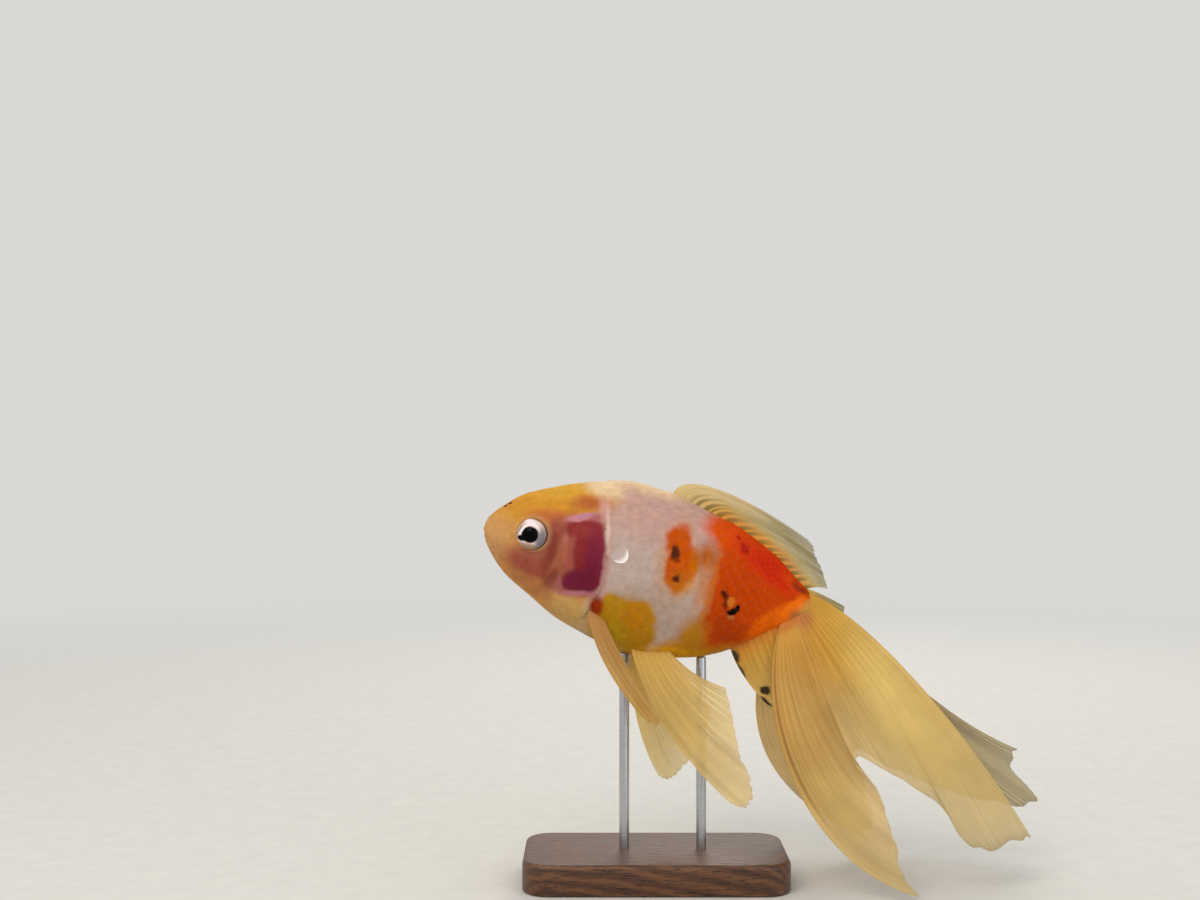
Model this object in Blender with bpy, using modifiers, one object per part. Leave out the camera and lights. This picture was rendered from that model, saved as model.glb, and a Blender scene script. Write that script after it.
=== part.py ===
"""Fancy goldfish, a long-tailed fantail at life size, held over a wooden base by two steel rods.

The fish is modelled along its own axes and posed as a whole by the empty swimming_pose:
x runs from the tip of the snout to the tail, y to the fish's right, z to its back. Lengths in
the tables are millimetres. The part's origin is the middle of the base's underside, +Z is up
and +X runs towards the tail.
"""

import math

import bmesh
import bpy
import numpy as np

MM = 0.001
TITLE = "fancy_goldfish"

# Driving dimensions of the fish, in millimetres
BODY_LENGTH = 87.6  # snout to the end of the tail stalk
GAP = 0.3  # clearance between pieces that touch
SNOUT_X = -44.5  # where the tip of the snout is over the base
SNOUT_HEIGHT = 91.5
PITCH = math.radians(15)  # the snout points up
GILL_COVER_RISE = 0.4  # how far the gill covers stand out of the head
GILL_COVER_INNER = 7.0  # their flat inner faces, from the middle plane
FAR = 40.0  # beyond the body on every side
FIN_ROOT = 1.3  # thickness of a fin at its root and at its edge
FIN_EDGE = 0.6
EYE_AT = (12.9, 6.7, 1.8)
EYE_RADII = (4.3, 3.7, 4.3)
EYE_TURN = math.radians(8)  # the eyes look a little forward

# Stand
BASE_SIZE = (68.0, 36.0, 8.0)
BASE_CORNER = 7.0
BASE_EDGE = 1.2
ROD_RADIUS = 1.3
ROD_X = {"front": -8.0, "rear": 12.0}
ROD_DEPTH = 4.0  # how far a rod goes into the base
ROD_TOP = 68.0  # inside the belly, which trims the rod

# Stations of the body: x, back, belly, half width, height of the widest line
STATIONS = [
    (0.0, 0.3, 0.3, 0.0, 0.3),
    (0.5, 3.0, -1.8, 3.0, 0.2),
    (3.0, 6.4, -5.6, 5.5, 0.2),
    (8.0, 11.2, -10.1, 7.6, 0.4),
    (15.0, 15.0, -13.7, 8.9, 0.6),
    (24.0, 18.7, -17.9, 11.2, -0.4),
    (34.0, 21.5, -20.6, 13.0, -2.0),
    (44.0, 21.2, -22.1, 13.5, -2.6),
    (54.0, 18.9, -20.6, 12.3, -2.2),
    (63.0, 17.0, -18.0, 9.9, -1.0),
    (71.0, 14.0, -13.6, 7.2, 0.4),
    (78.0, 10.5, -8.1, 4.9, 1.4),
    (84.0, 7.1, -4.0, 3.3, 1.8),
    (86.6, 5.2, -2.0, 2.2, 1.7),
    (BODY_LENGTH, 1.6, 1.6, 0.0, 1.6),
]
FULLNESS = 2.15  # exponent of the sections: 2 is an ellipse
RINGS = 36
SIDES = 32

# Lines on the flank, as x and z from the back down to the belly
GILL_LINE = [
    (25.4, 30.0),
    (26.2, 17.5),
    (29.5, 10.3),
    (32.2, 2.0),
    (33.3, -6.0),
    (31.6, -13.6),
    (27.6, -20.5),
    (25.0, -30.0),
]
COVER_LINE = [
    (28.0, 11.2),
    (23.0, 10.0),
    (21.2, 7.0),
    (22.6, 2.0),
    (23.7, -5.0),
    (22.9, -10.5),
    (22.6, -14.5),
    (26.5, -16.8),
]
STALK_LINE = [(64.5, 30.0), (67.0, 14.0), (68.5, 0.0), (68.0, -12.0), (66.0, -30.0)]
JAW_LINE = [(-3.0, -0.6), (0.3, -1.3), (2.0, -2.9), (4.1, -4.6), (7.5, -7.6), (9.0, -11.0), (9.0, -18.0)]

# Each fin is a fan of rays. A ray is a cubic curve from the root rail to the edge rail, bent
# towards the two rails between them. Rails run from the leading edge to the trailing edge.
TAIL_LEFT = (
    [(84.9, -0.9, 5.2), (84.4, -1.3, 2.7), (83.4, -1.9, 0.0), (82.2, -2.4, -2.0), (80.6, -2.6, -4.0)],
    [(99.9, -2.5, 5.5), (98.6, -5.0, -3.4), (92.3, -8.0, -11.3), (88.3, -9.5, -21.4), (78.2, -9.0, -30.0)],
    [
        (134.5, -6.0, -19.1),
        (115.0, -11.0, -19.2),
        (98.8, -15.0, -21.6),
        (102.3, -18.0, -36.4),
        (101.0, -19.0, -60.7),
    ],
    [
        (157.1, -9.0, -41.2),
        (151.4, -11.0, -41.5),
        (144.2, -13.0, -45.8),
        (137.0, -14.0, -44.1),
        (128.7, -16.0, -36.2),
        (117.9, -18.0, -33.0),
        (105.5, -20.0, -29.8),
        (109.0, -21.0, -34.5),
        (113.4, -21.0, -38.4),
        (116.7, -21.0, -43.1),
        (119.9, -22.0, -48.2),
        (122.7, -23.0, -53.8),
        (129.2, -24.0, -58.6),
    ],
)
TAIL_RIGHT = (
    [(84.9, 0.9, 5.2), (84.4, 1.3, 2.7), (83.4, 1.9, 0.0), (82.2, 2.4, -2.0), (80.6, 2.6, -4.0)],
    [(102.0, 2.5, 0.7), (99.7, 5.0, -5.7), (95.2, 8.0, -13.6), (88.7, 9.5, -24.3), (76.7, 9.0, -28.0)],
    [
        (127.1, 7.0, -18.6),
        (120.0, 11.0, -22.2),
        (104.5, 15.0, -26.0),
        (101.9, 18.0, -41.8),
        (84.9, 19.0, -51.1),
    ],
    [
        (154.9, 12.0, -21.5),
        (153.2, 13.0, -26.5),
        (163.1, 15.0, -34.5),
        (153.1, 16.0, -37.7),
        (139.7, 18.0, -38.1),
        (125.6, 20.0, -36.4),
        (113.3, 22.0, -34.5),
        (115.3, 22.0, -39.0),
        (118.0, 22.0, -42.6),
        (120.3, 23.0, -46.4),
        (122.2, 23.0, -50.2),
        (123.7, 24.0, -54.3),
        (124.1, 24.0, -57.6),
    ],
)
DORSAL = (
    [(45.4, 0.0, 19.0), (55.8, 0.0, 17.0), (67.6, 0.0, 13.6), (78.0, 0.0, 8.8)],
    [(43.5, 0.0, 28.5), (57.0, 0.0, 22.8), (71.6, 0.0, 16.4), (83.2, 0.0, 10.5)],
    [(61.5, 0.0, 26.6), (70.9, 0.0, 20.9), (79.6, 0.0, 15.0), (87.0, 0.0, 9.6)],
    [(83.9, 0.0, 18.0), (85.5, 0.0, 14.8), (87.4, 0.0, 12.8), (88.9, 0.0, 10.7), (90.5, 0.0, 8.4)],
)
TAIL_CREST = (
    [(78.0, 0.0, 9.0), (84.0, 0.0, 5.8)],
    [(83.5, 0.0, 8.9), (87.0, 0.0, 6.3)],
    [(89.5, 0.0, 7.6), (91.0, 0.0, 5.4)],
    [(96.0, 0.0, 4.3), (95.2, 0.0, 4.1)],
)
ANAL_LEFT = (
    [(69.4, -1.6, -12.6), (73.4, -2.2, -9.3), (78.2, -2.3, -5.6)],
    [(73.1, -2.6, -19.4), (77.0, -3.0, -16.0), (80.4, -3.1, -10.8)],
    [(78.7, -4.2, -22.9), (82.1, -4.3, -20.5), (84.0, -4.0, -15.9)],
    [(85.7, -5.6, -26.9), (87.5, -5.6, -25.9), (88.8, -5.5, -23.0), (88.0, -5.0, -19.6)],
)
PELVIC_LEFT = (
    [(44.0, -6.2, -18.2), (48.4, -5.9, -18.0), (53.1, -5.4, -17.0)],
    [(49.4, -9.0, -30.6), (55.1, -9.5, -28.2), (59.5, -8.0, -21.9)],
    [(64.9, -13.0, -44.0), (68.3, -14.0, -36.4), (66.0, -12.0, -22.6)],
    [
        (79.8, -17.0, -50.3),
        (83.1, -17.0, -49.0),
        (82.5, -17.0, -44.2),
        (78.0, -17.0, -37.7),
        (74.3, -16.0, -30.8),
        (69.9, -14.0, -22.4),
    ],
)
PELVIC_RIGHT = (
    [(44.0, 6.2, -18.2), (48.4, 5.9, -18.0), (53.1, 5.4, -17.0)],
    [(48.1, 9.0, -32.4), (53.4, 9.0, -29.6), (57.5, 8.0, -24.2)],
    [(53.3, 12.0, -45.3), (61.3, 13.0, -41.9), (66.3, 11.0, -27.8)],
    [(62.7, 15.0, -54.2), (66.0, 15.0, -52.8), (69.0, 15.0, -47.2), (71.3, 15.0, -40.2), (71.2, 14.0, -33.1)],
)
PECTORAL = (
    [(30.9, -8.8, -10.2), (32.8, -9.0, -11.3), (34.8, -9.0, -12.3)],
    [(32.4, -15.0, -19.9), (35.9, -15.0, -19.5), (39.6, -13.6, -19.5)],
    [(44.0, -24.0, -28.9), (46.5, -20.5, -28.3), (49.7, -16.5, -28.3)],
    [(51.5, -28.0, -33.3), (54.4, -25.0, -34.6), (55.7, -20.5, -34.1), (54.7, -18.0, -32.8)],
)

# Colours in sRGB, then roughness and metallic
LOOKS = {
    "golden_orange_skin": ("D9853A", 0.35, 0.0),
    "pale_jaw_skin": ("D6A487", 0.35, 0.0),
    "plum_gill_skin": ("8A3A3A", 0.3, 0.0),
    "calico_skin": ("DE7A3C", 0.35, 0.0),
    "orange_tail_skin": ("DC5A14", 0.35, 0.0),
    "cream_fin": ("D8B47A", 0.4, 0.0),
    "pink_fin": ("C99A86", 0.4, 0.0),
    "wet_eye": ("B9A7A0", 0.1, 0.0),
    "walnut": ("4A2E1E", 0.45, 0.0),
    "satin_steel": ("B8BABC", 0.3, 1.0),
}


def clear_scene():
    for obj in list(bpy.data.objects):
        bpy.data.objects.remove(obj, do_unlink=True)


def new_collection(name):
    collection = bpy.data.collections.new(name)
    bpy.context.scene.collection.children.link(collection)
    return collection


def linear(hex_colour):
    srgb = [int(hex_colour[i : i + 2], 16) / 255 for i in (0, 2, 4)]
    return [v / 12.92 if v <= 0.04045 else ((v + 0.055) / 1.055) ** 2.4 for v in srgb] + [1.0]


def look(name):
    """The material of this name, made the first time it is asked for."""
    if name in bpy.data.materials:
        return bpy.data.materials[name]
    colour, roughness, metallic = LOOKS[name]
    material = bpy.data.materials.new(name)
    material.use_nodes = True
    shader = material.node_tree.nodes["Principled BSDF"]
    shader.inputs["Base Color"].default_value = linear(colour)
    shader.inputs["Roughness"].default_value = roughness
    shader.inputs["Metallic"].default_value = metallic
    material.diffuse_color = linear(colour)
    return material


def smooth(table, count):
    """count rows along a smooth curve through the table's rows, spaced by their distance."""
    rows = np.array(table, float)
    step = np.sqrt(np.linalg.norm(np.diff(rows, axis=0), axis=1))
    knots = np.concatenate([[0.0], np.cumsum(step)])
    slope = np.diff(rows, axis=0) / step[:, None]
    tangent = np.zeros_like(rows)
    before, after = step[:-1, None], step[1:, None]
    tangent[1:-1] = (slope[:-1] * after + slope[1:] * before) / (before + after)
    tangent[0] = 2 * slope[0] - tangent[1]
    tangent[-1] = 2 * slope[-1] - tangent[-2]
    out = []
    for place in np.linspace(0, knots[-1], count):
        i = min(int(np.searchsorted(knots, place, side="right")) - 1, len(step) - 1)
        f = (place - knots[i]) / step[i]
        start = (2 * f**3 - 3 * f**2 + 1) * rows[i] + (f**3 - 2 * f**2 + f) * step[i] * tangent[i]
        end = (3 * f**2 - 2 * f**3) * rows[i + 1] + (f**3 - f**2) * step[i] * tangent[i + 1]
        out.append(start + end)
    return np.array(out)


def rail(points, count):
    """count points on a rail, at even steps from one listed point to the next."""
    rows = np.array(points, float)
    tangent = np.gradient(rows, axis=0)
    out = []
    for place in np.linspace(0, len(rows) - 1, count):
        i = min(int(place), len(rows) - 2)
        f = place - i
        start = (2 * f**3 - 3 * f**2 + 1) * rows[i] + (f**3 - 2 * f**2 + f) * tangent[i]
        end = (3 * f**2 - 2 * f**3) * rows[i + 1] + (f**3 - f**2) * tangent[i + 1]
        out.append(start + end)
    return np.array(out)


def add_object(name, points, faces, collection, material=None, parent=None):
    mesh = bpy.data.meshes.new(name)
    mesh.from_pydata([tuple(p) for p in np.asarray(points) * MM], [], faces)
    mesh.shade_smooth()
    obj = bpy.data.objects.new(name, mesh)
    collection.objects.link(obj)
    if material:
        mesh.materials.append(look(material))
    obj.parent = parent
    return obj


def adopt(obj, name, collection):
    """Names a new primitive and moves it to its collection."""
    obj.name = name
    obj.data.name = name
    for found in list(obj.users_collection):
        found.objects.unlink(obj)
    collection.objects.link(obj)
    return obj


def make_cutter(obj):
    obj.hide_render = True
    obj.display_type = "WIRE"
    return obj


def boolean(obj, operation, other):
    modifier = obj.modifiers.new(f"{operation.lower()} {other.name}", "BOOLEAN")
    modifier.operation = operation
    modifier.object = other


# %% The body


def ring(station, grow=0.0):
    """The section of the body at one station: a superellipse about its widest line."""
    x, back, belly, half, widest = station
    turn = np.linspace(0, 2 * math.pi, SIDES, endpoint=False)
    c, s = np.cos(turn), np.sin(turn)
    y = (half + grow) * np.sign(c) * np.abs(c) ** (2 / FULLNESS)
    reach = np.where(s > 0, back + grow - widest, widest - belly + grow)
    z = widest + reach * np.sign(s) * np.abs(s) ** (2 / FULLNESS)
    return np.column_stack([np.full(SIDES, x), y, z])


def body(name, collection, parent, grow=0.0, material=None):
    """The whole body as one closed loft, from a point at the snout to a point at the tail."""
    stations = smooth(STATIONS, RINGS)
    first, last = stations[0], stations[-1]
    points = [(first[0] - grow, 0.0, first[4])]
    for station in stations[1:-1]:
        points.extend(ring(station, grow))
    points.append((last[0] + grow, 0.0, last[4]))
    rings = len(stations) - 2
    tail = len(points) - 1
    faces = []
    for side in range(SIDES):
        beside = (side + 1) % SIDES
        faces.append((0, 1 + beside, 1 + side))
        for row in range(rings - 1):
            here = 1 + row * SIDES
            faces.append((here + side, here + beside, here + SIDES + beside, here + SIDES + side))
        here = 1 + (rings - 1) * SIDES
        faces.append((here + side, here + beside, tail))
    obj = add_object(name, points, faces, collection, material, parent)
    face_out(obj.data)
    return obj


def face_out(mesh):
    bm = bmesh.new()
    bm.from_mesh(mesh)
    bmesh.ops.recalc_face_normals(bm, faces=bm.faces)
    bm.to_mesh(mesh)
    bm.free()


def prism(name, outline, low, high, collection, parent):
    """A closed outline of x and z, extruded across the fish from y = low to y = high."""
    count = len(outline)
    points = [(x, low, z) for x, z in outline] + [(x, high, z) for x, z in outline]
    faces = [tuple(range(count)), tuple(range(count, 2 * count))]
    for i in range(count):
        j = (i + 1) % count
        faces.append((i, j, count + j, count + i))
    obj = add_object(name, points, faces, collection, None, parent)
    face_out(obj.data)
    return make_cutter(obj)


def shifted(line, by):
    """The line moved sideways: a positive distance moves a line that runs down to the rear."""
    points = np.array(line)
    along = np.gradient(points, axis=0)
    along /= np.linalg.norm(along, axis=1)[:, None]
    return points + by * np.column_stack([-along[:, 1], along[:, 0]])


def ahead_of(line, by=0.0):
    """The outline of all that lies before a line which runs from the back to the belly."""
    return [tuple(p) for p in shifted(smooth(line, 16), by)] + [(-FAR, -FAR), (-FAR, FAR)]


def jaw_outline(by=0.0):
    """The outline of all that lies below the line of the mouth and before the throat."""
    line = shifted(smooth(JAW_LINE, 12), by)
    return [tuple(p) for p in line] + [(-FAR, line[-1][1]), (-FAR, line[0][1])]


def cover_outline(by=0.0):
    """The gill cover's outline, which runs on past the gill line behind."""
    line = shifted(smooth(COVER_LINE, 16), -by)
    return [tuple(p) for p in line] + [(FAR, line[-1][1]), (FAR, line[0][1])]


def eyeball(name, side, radii, collection, parent):
    bpy.ops.mesh.primitive_uv_sphere_add(segments=20, ring_count=10, radius=1.0)
    obj = adopt(bpy.context.object, name, collection)
    for vertex in obj.data.vertices:
        x, y, z = vertex.co
        vertex.co = (x * radii[0] * MM, z * radii[1] * MM, y * radii[2] * MM)
    face_out(obj.data)
    obj.data.shade_smooth()
    obj.parent = parent
    obj.location = (EYE_AT[0] * MM, side * EYE_AT[1] * MM, EYE_AT[2] * MM)
    obj.rotation_euler = (0, 0, side * EYE_TURN)
    return obj


def make_body(parts, cutters, pose):
    """The head, jaw, gill covers, eyes, trunk and tail stalk, parted by thin cuts."""
    before_gill = prism("before_gill", ahead_of(GILL_LINE), -FAR, FAR, cutters, pose)
    before_trunk = prism("before_trunk", ahead_of(GILL_LINE, GAP), -FAR, FAR, cutters, pose)
    before_stalk = prism("before_stalk", ahead_of(STALK_LINE), -FAR, FAR, cutters, pose)
    before_tail = prism("before_tail", ahead_of(STALK_LINE, GAP), -FAR, FAR, cutters, pose)
    jaw_region = prism("jaw_region", jaw_outline(), -FAR, FAR, cutters, pose)
    jaw_room = prism("jaw_room", jaw_outline(GAP), -FAR, FAR, cutters, pose)

    head = body("head", parts, pose, 0.0, "golden_orange_skin")
    boolean(head, "INTERSECT", before_gill)
    boolean(head, "DIFFERENCE", jaw_room)
    jaw = body("lower_jaw", parts, pose, 0.0, "pale_jaw_skin")
    boolean(jaw, "INTERSECT", jaw_region)

    for side, word in ((-1, "left"), (1, "right")):
        inner, outer = side * GILL_COVER_INNER, side * FAR
        region = prism(f"cover_region_{word}", cover_outline(), inner, outer, cutters, pose)
        room = prism(f"cover_room_{word}", cover_outline(GAP), inner - side * GAP, outer, cutters, pose)
        boolean(head, "DIFFERENCE", room)
        cover = body(f"gill_cover_{word}", parts, pose, GILL_COVER_RISE, "plum_gill_skin")
        boolean(cover, "INTERSECT", region)
        boolean(cover, "INTERSECT", before_gill)
        eye = eyeball(f"eye_{word}", side, EYE_RADII, parts, pose)
        eye.data.materials.append(look("wet_eye"))
        radii = [r + GAP for r in EYE_RADII]
        boolean(head, "DIFFERENCE", make_cutter(eyeball(f"socket_{word}", side, radii, cutters, pose)))

    trunk = body("trunk", parts, pose, 0.0, "calico_skin")
    boolean(trunk, "INTERSECT", before_stalk)
    boolean(trunk, "DIFFERENCE", before_trunk)
    stalk = body("tail_stalk", parts, pose, 0.0, "orange_tail_skin")
    boolean(stalk, "DIFFERENCE", before_tail)


# %% The fins


def fan_points(rails, rays, steps):
    """Points of a fan of rays, ray by ray, from the root to the edge."""
    root, near, far, edge = (rail(points, rays) for points in rails)
    points = []
    for ray in range(rays):
        for f in np.linspace(0, 1, steps):
            g = 1 - f
            points.append(
                g**3 * root[ray] + 3 * g * g * f * near[ray] + 3 * g * f * f * far[ray] + f**3 * edge[ray]
            )
    return points


def fin(name, rails, rays, steps, parts, pose, material, clearance):
    """A fin that is thickest at its root, trimmed where it meets the body."""
    points = fan_points(rails, rays, steps)
    faces = []
    for ray in range(rays - 1):
        for step in range(steps - 1):
            here = ray * steps + step
            faces.append((here, here + 1, here + steps + 1, here + steps))
    obj = add_object(name, points, faces, parts, material, pose)
    weights = obj.vertex_groups.new(name="root")
    for index in range(len(points)):
        weights.add([index], 1 - (index % steps) / (steps - 1), "REPLACE")
    thicken = obj.modifiers.new("thickness", "SOLIDIFY")
    thicken.thickness = FIN_ROOT * MM
    thicken.offset = 0
    thicken.vertex_group = "root"
    thicken.thickness_vertex_group = FIN_EDGE / FIN_ROOT
    boolean(obj, "DIFFERENCE", clearance)
    return obj


def mirrored(rails):
    return tuple([(x, -y, z) for x, y, z in points] for points in rails)


def make_fins(parts, clearance, cover_clearance, pose):
    fin("dorsal_fin", DORSAL, 16, 8, parts, pose, "cream_fin", clearance)
    fin("tail_crest", TAIL_CREST, 4, 6, parts, pose, "cream_fin", clearance)
    fin("tail_fin_left", TAIL_LEFT, 33, 8, parts, pose, "cream_fin", clearance)
    fin("tail_fin_right", TAIL_RIGHT, 33, 8, parts, pose, "cream_fin", clearance)
    fin("anal_fin_left", ANAL_LEFT, 8, 6, parts, pose, "cream_fin", clearance)
    fin("anal_fin_right", mirrored(ANAL_LEFT), 8, 6, parts, pose, "cream_fin", clearance)
    fin("pelvic_fin_left", PELVIC_LEFT, 12, 8, parts, pose, "cream_fin", clearance)
    fin("pelvic_fin_right", PELVIC_RIGHT, 12, 8, parts, pose, "cream_fin", clearance)
    fin("pectoral_fin_left", PECTORAL, 8, 8, parts, pose, "pink_fin", cover_clearance)
    fin("pectoral_fin_right", mirrored(PECTORAL), 8, 8, parts, pose, "pink_fin", cover_clearance)


# %% The stand


def rounded_outline(half_x, half_y, corner, steps=6):
    """The corners of a rounded rectangle, anticlockwise."""
    points = []
    for quarter, (sx, sy) in enumerate(((1, 1), (-1, 1), (-1, -1), (1, -1))):
        for turn in np.linspace(quarter, quarter + 1, steps):
            angle = turn * math.pi / 2
            x = sx * (half_x - corner) + corner * math.cos(angle)
            y = sy * (half_y - corner) + corner * math.sin(angle)
            points.append((x, y))
    return points


def make_base(parts):
    """A rounded block with softened edges, its underside in the plane z = 0."""
    length, width, height = BASE_SIZE
    levels = [(0.0, BASE_EDGE / 2), (BASE_EDGE / 2, 0.0), (height - BASE_EDGE, 0.0)]
    for turn in (math.pi / 4, math.pi / 2):
        levels.append((height - BASE_EDGE * (1 - math.sin(turn)), BASE_EDGE * (1 - math.cos(turn))))
    points = []
    for z, inset in levels:
        outline = rounded_outline(length / 2 - inset, width / 2 - inset, BASE_CORNER - inset)
        points.extend((x, y, z) for x, y in outline)
    around = len(points) // len(levels)
    faces = [tuple(range(around)), tuple(range(len(points) - around, len(points)))]
    for row in range(len(levels) - 1):
        for side in range(around):
            here, beside = row * around + side, row * around + (side + 1) % around
            faces.append((here, beside, beside + around, here + around))
    base = add_object("stand_base", points, faces, parts, "walnut")
    face_out(base.data)
    base.data.set_sharp_from_angle(angle=math.radians(35))
    return base


def upright(name, x, radius, low, high, collection):
    middle = (low + high) / 2
    bpy.ops.mesh.primitive_cylinder_add(
        vertices=20, radius=radius * MM, depth=(high - low) * MM, location=(x * MM, 0, middle * MM)
    )
    return adopt(bpy.context.object, name, collection)


def make_stand(parts, cutters, clearance):
    base = make_base(parts)
    height = BASE_SIZE[2]
    for word, x in ROD_X.items():
        foot = height - ROD_DEPTH
        rod = upright(f"stand_rod_{word}", x, ROD_RADIUS, foot + GAP, ROD_TOP, parts)
        rod.data.materials.append(look("satin_steel"))
        rod.data.shade_smooth()
        rod.data.set_sharp_from_angle(angle=math.radians(35))
        boolean(rod, "DIFFERENCE", clearance)
        hole = upright(f"rod_hole_{word}", x, ROD_RADIUS + GAP, foot, height + 5, cutters)
        boolean(base, "DIFFERENCE", make_cutter(hole))


def main():
    clear_scene()
    parts = new_collection(TITLE)
    cutters = new_collection("cutters")
    pose = bpy.data.objects.new("swimming_pose", None)
    parts.objects.link(pose)
    pose.location = (SNOUT_X * MM, 0, SNOUT_HEIGHT * MM)
    pose.rotation_euler = (0, PITCH, 0)
    make_body(parts, cutters, pose)
    clearance = make_cutter(body("body_clearance", cutters, pose, GAP))
    cover_clearance = make_cutter(body("cover_clearance", cutters, pose, GILL_COVER_RISE + GAP))
    make_fins(parts, clearance, cover_clearance, pose)
    make_stand(parts, cutters, clearance)


main()
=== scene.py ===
# %% [markdown]
# # A calico fantail goldfish on a display stand
#
# A goldfish wears three very different surfaces: matt skin under clear scales, fins of thin
# membrane stretched over bony rays, and a wet, glossy eye. Each could be one material on one mesh,
# but they differ in shape as much as in gloss, so here each is a piece of its own. All of them are
# built round a fixed frame of simple solids, which gives every size and place.

# %% Load the frame
import math

import bmesh
import bpy
import numpy as np
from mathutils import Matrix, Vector


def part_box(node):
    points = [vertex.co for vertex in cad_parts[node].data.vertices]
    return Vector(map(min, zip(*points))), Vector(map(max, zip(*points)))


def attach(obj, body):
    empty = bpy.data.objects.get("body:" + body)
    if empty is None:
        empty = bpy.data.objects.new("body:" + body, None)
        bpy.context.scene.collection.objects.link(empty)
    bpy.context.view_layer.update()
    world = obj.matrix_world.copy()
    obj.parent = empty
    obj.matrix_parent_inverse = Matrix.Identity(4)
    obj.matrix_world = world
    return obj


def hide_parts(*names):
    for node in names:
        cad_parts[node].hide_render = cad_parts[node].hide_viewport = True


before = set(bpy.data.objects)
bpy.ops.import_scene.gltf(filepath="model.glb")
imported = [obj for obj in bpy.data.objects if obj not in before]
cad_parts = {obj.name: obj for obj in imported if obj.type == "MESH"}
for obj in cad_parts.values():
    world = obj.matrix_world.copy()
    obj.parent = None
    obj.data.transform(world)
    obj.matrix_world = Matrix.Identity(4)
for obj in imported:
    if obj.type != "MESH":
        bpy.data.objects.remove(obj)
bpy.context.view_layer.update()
MM = 0.001
CREASE = math.radians(40)  # steeper edges stay sharp

# %% [markdown]
# ## Small tools
#
# Colours are written as sRGB hex, as a paint chart gives them, and one function turns them to the
# linear values that a shader needs. One more function adds a node, sets it and links it, and its
# helper feeds a shader that is already there, so that a whole material reads as a few lines.

# %% Colours, nodes and pieces


def linear(hex_colour):
    """The linear colour that a shader needs, from sRGB hex."""
    srgb = [int(hex_colour[i : i + 2], 16) / 255 for i in (0, 2, 4)]
    return [v / 12.92 if v <= 0.04045 else ((v + 0.055) / 1.055) ** 2.4 for v in srgb] + [1.0]


def feed(node, inputs):
    """Sets a node's inputs, each to a value or to a link from a socket or from another node's result."""
    for name, value in inputs.items():
        if isinstance(value, bpy.types.Node):
            value = next(result for result in value.outputs if result.enabled)
        if isinstance(value, bpy.types.NodeSocket):
            node.id_data.links.new(value, node.inputs[name])
        else:
            node.inputs[name].default_value = value


def add(tree, kind, inputs=None, stops=(), **settings):
    """Adds a node with its settings, what feeds its inputs, and a ramp's places and colours."""
    node = tree.nodes.new(kind)
    for name, value in settings.items():
        setattr(node, name, value)
    feed(node, inputs or {})
    for index, (place, colour) in enumerate(stops):
        elements = node.color_ramp.elements
        element = elements[index] if index < 2 else elements.new(place)
        element.position = place
        element.color = linear(colour)
    return node


def new_material(name, **values):
    """A material with one Principled shader, its uniform values set on the shader's own sockets."""
    material = bpy.data.materials.new(name)
    material.use_nodes = True
    shader = material.node_tree.nodes["Principled BSDF"]
    for socket, value in values.items():
        shader.inputs[socket.replace("_", " ")].default_value = value
    return material, material.node_tree, shader


def new_piece(name, points, faces, material=None, edges=()):
    """A smooth mesh object at the origin, from points in metres."""
    mesh = bpy.data.meshes.new(name)
    mesh.from_pydata([tuple(p) for p in points], list(edges), [tuple(f) for f in faces])
    mesh.shade_smooth()
    if material:
        mesh.materials.append(material)
    piece = bpy.data.objects.new(name, mesh)
    bpy.context.scene.collection.objects.link(piece)
    return piece


def keep_values(mesh, **values):
    """Stores numbers or vectors, one for each point of the mesh, for nodes to read."""
    for name, rows in values.items():
        flat = np.asarray(rows, np.float32).ravel()
        kind, field = ("FLOAT_VECTOR", "vector") if len(flat) > len(mesh.vertices) else ("FLOAT", "value")
        mesh.attributes.new(name, kind, "POINT").data.foreach_set(field, flat)


def flatten(piece):
    """Turns what the piece's modifiers make into its plain mesh, and removes them."""
    graph = bpy.context.evaluated_depsgraph_get()
    evaluated = piece.evaluated_get(graph)
    mesh = bpy.data.meshes.new_from_object(evaluated, preserve_all_data_layers=True, depsgraph=graph)
    piece.modifiers.clear()
    piece.data = mesh
    return piece


def face_out(mesh):
    """Turns every face of a closed mesh outwards."""
    bm = bmesh.new()
    bm.from_mesh(mesh)
    bmesh.ops.recalc_face_normals(bm, faces=bm.faces)
    bm.to_mesh(mesh)
    bm.free()


def stacked(name, rings, material):
    """A closed solid from rings of points, the first and the last one filled."""
    around = len(rings[0])
    points = [point for ring in rings for point in ring]
    faces = [tuple(range(around)), tuple(range(len(points) - around, len(points)))]
    for start in range(0, len(points) - around, around):
        for side in range(around):
            here, beside = start + side, start + (side + 1) % around
            faces.append((here, beside, beside + around, here + around))
    piece = new_piece(name, points, faces, material)
    face_out(piece.data)
    piece.data.set_sharp_from_angle(angle=CREASE)
    return piece


def dress(piece, slot, *nodes):
    """Ties a finished piece to the frame and says how large it is."""
    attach(piece, "root")
    if nodes:
        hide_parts(*nodes)
    piece.data.calc_loop_triangles()
    print(f"{piece.name}: {len(piece.data.loop_triangles)} triangles")


# %% [markdown]
# ## Floor, camera and light
#
# The fish is shown as a museum would light it: a pale floor, one large soft lamp above its head, a
# weaker one from the other side and one behind, which lets the thin fins glow at their edges. A
# backdrop wall would stand in the way when the fish is seen from behind, so the world's own pale
# light takes its place.

# %% Set the stage
MIDDLE = Vector((0.008, 0.0, 0.055))  # the lamps point here
CAMERA_AT = (-0.0143, -0.420, 0.1115)
SENSOR_WIDTH, LENS = 36, 48.46  # both in millimetres
FLOOR = 3.0  # metres from its middle to each edge
FADE_START, FADE_END = 0.25, 0.9  # the floor fades into the room between these distances

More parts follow.
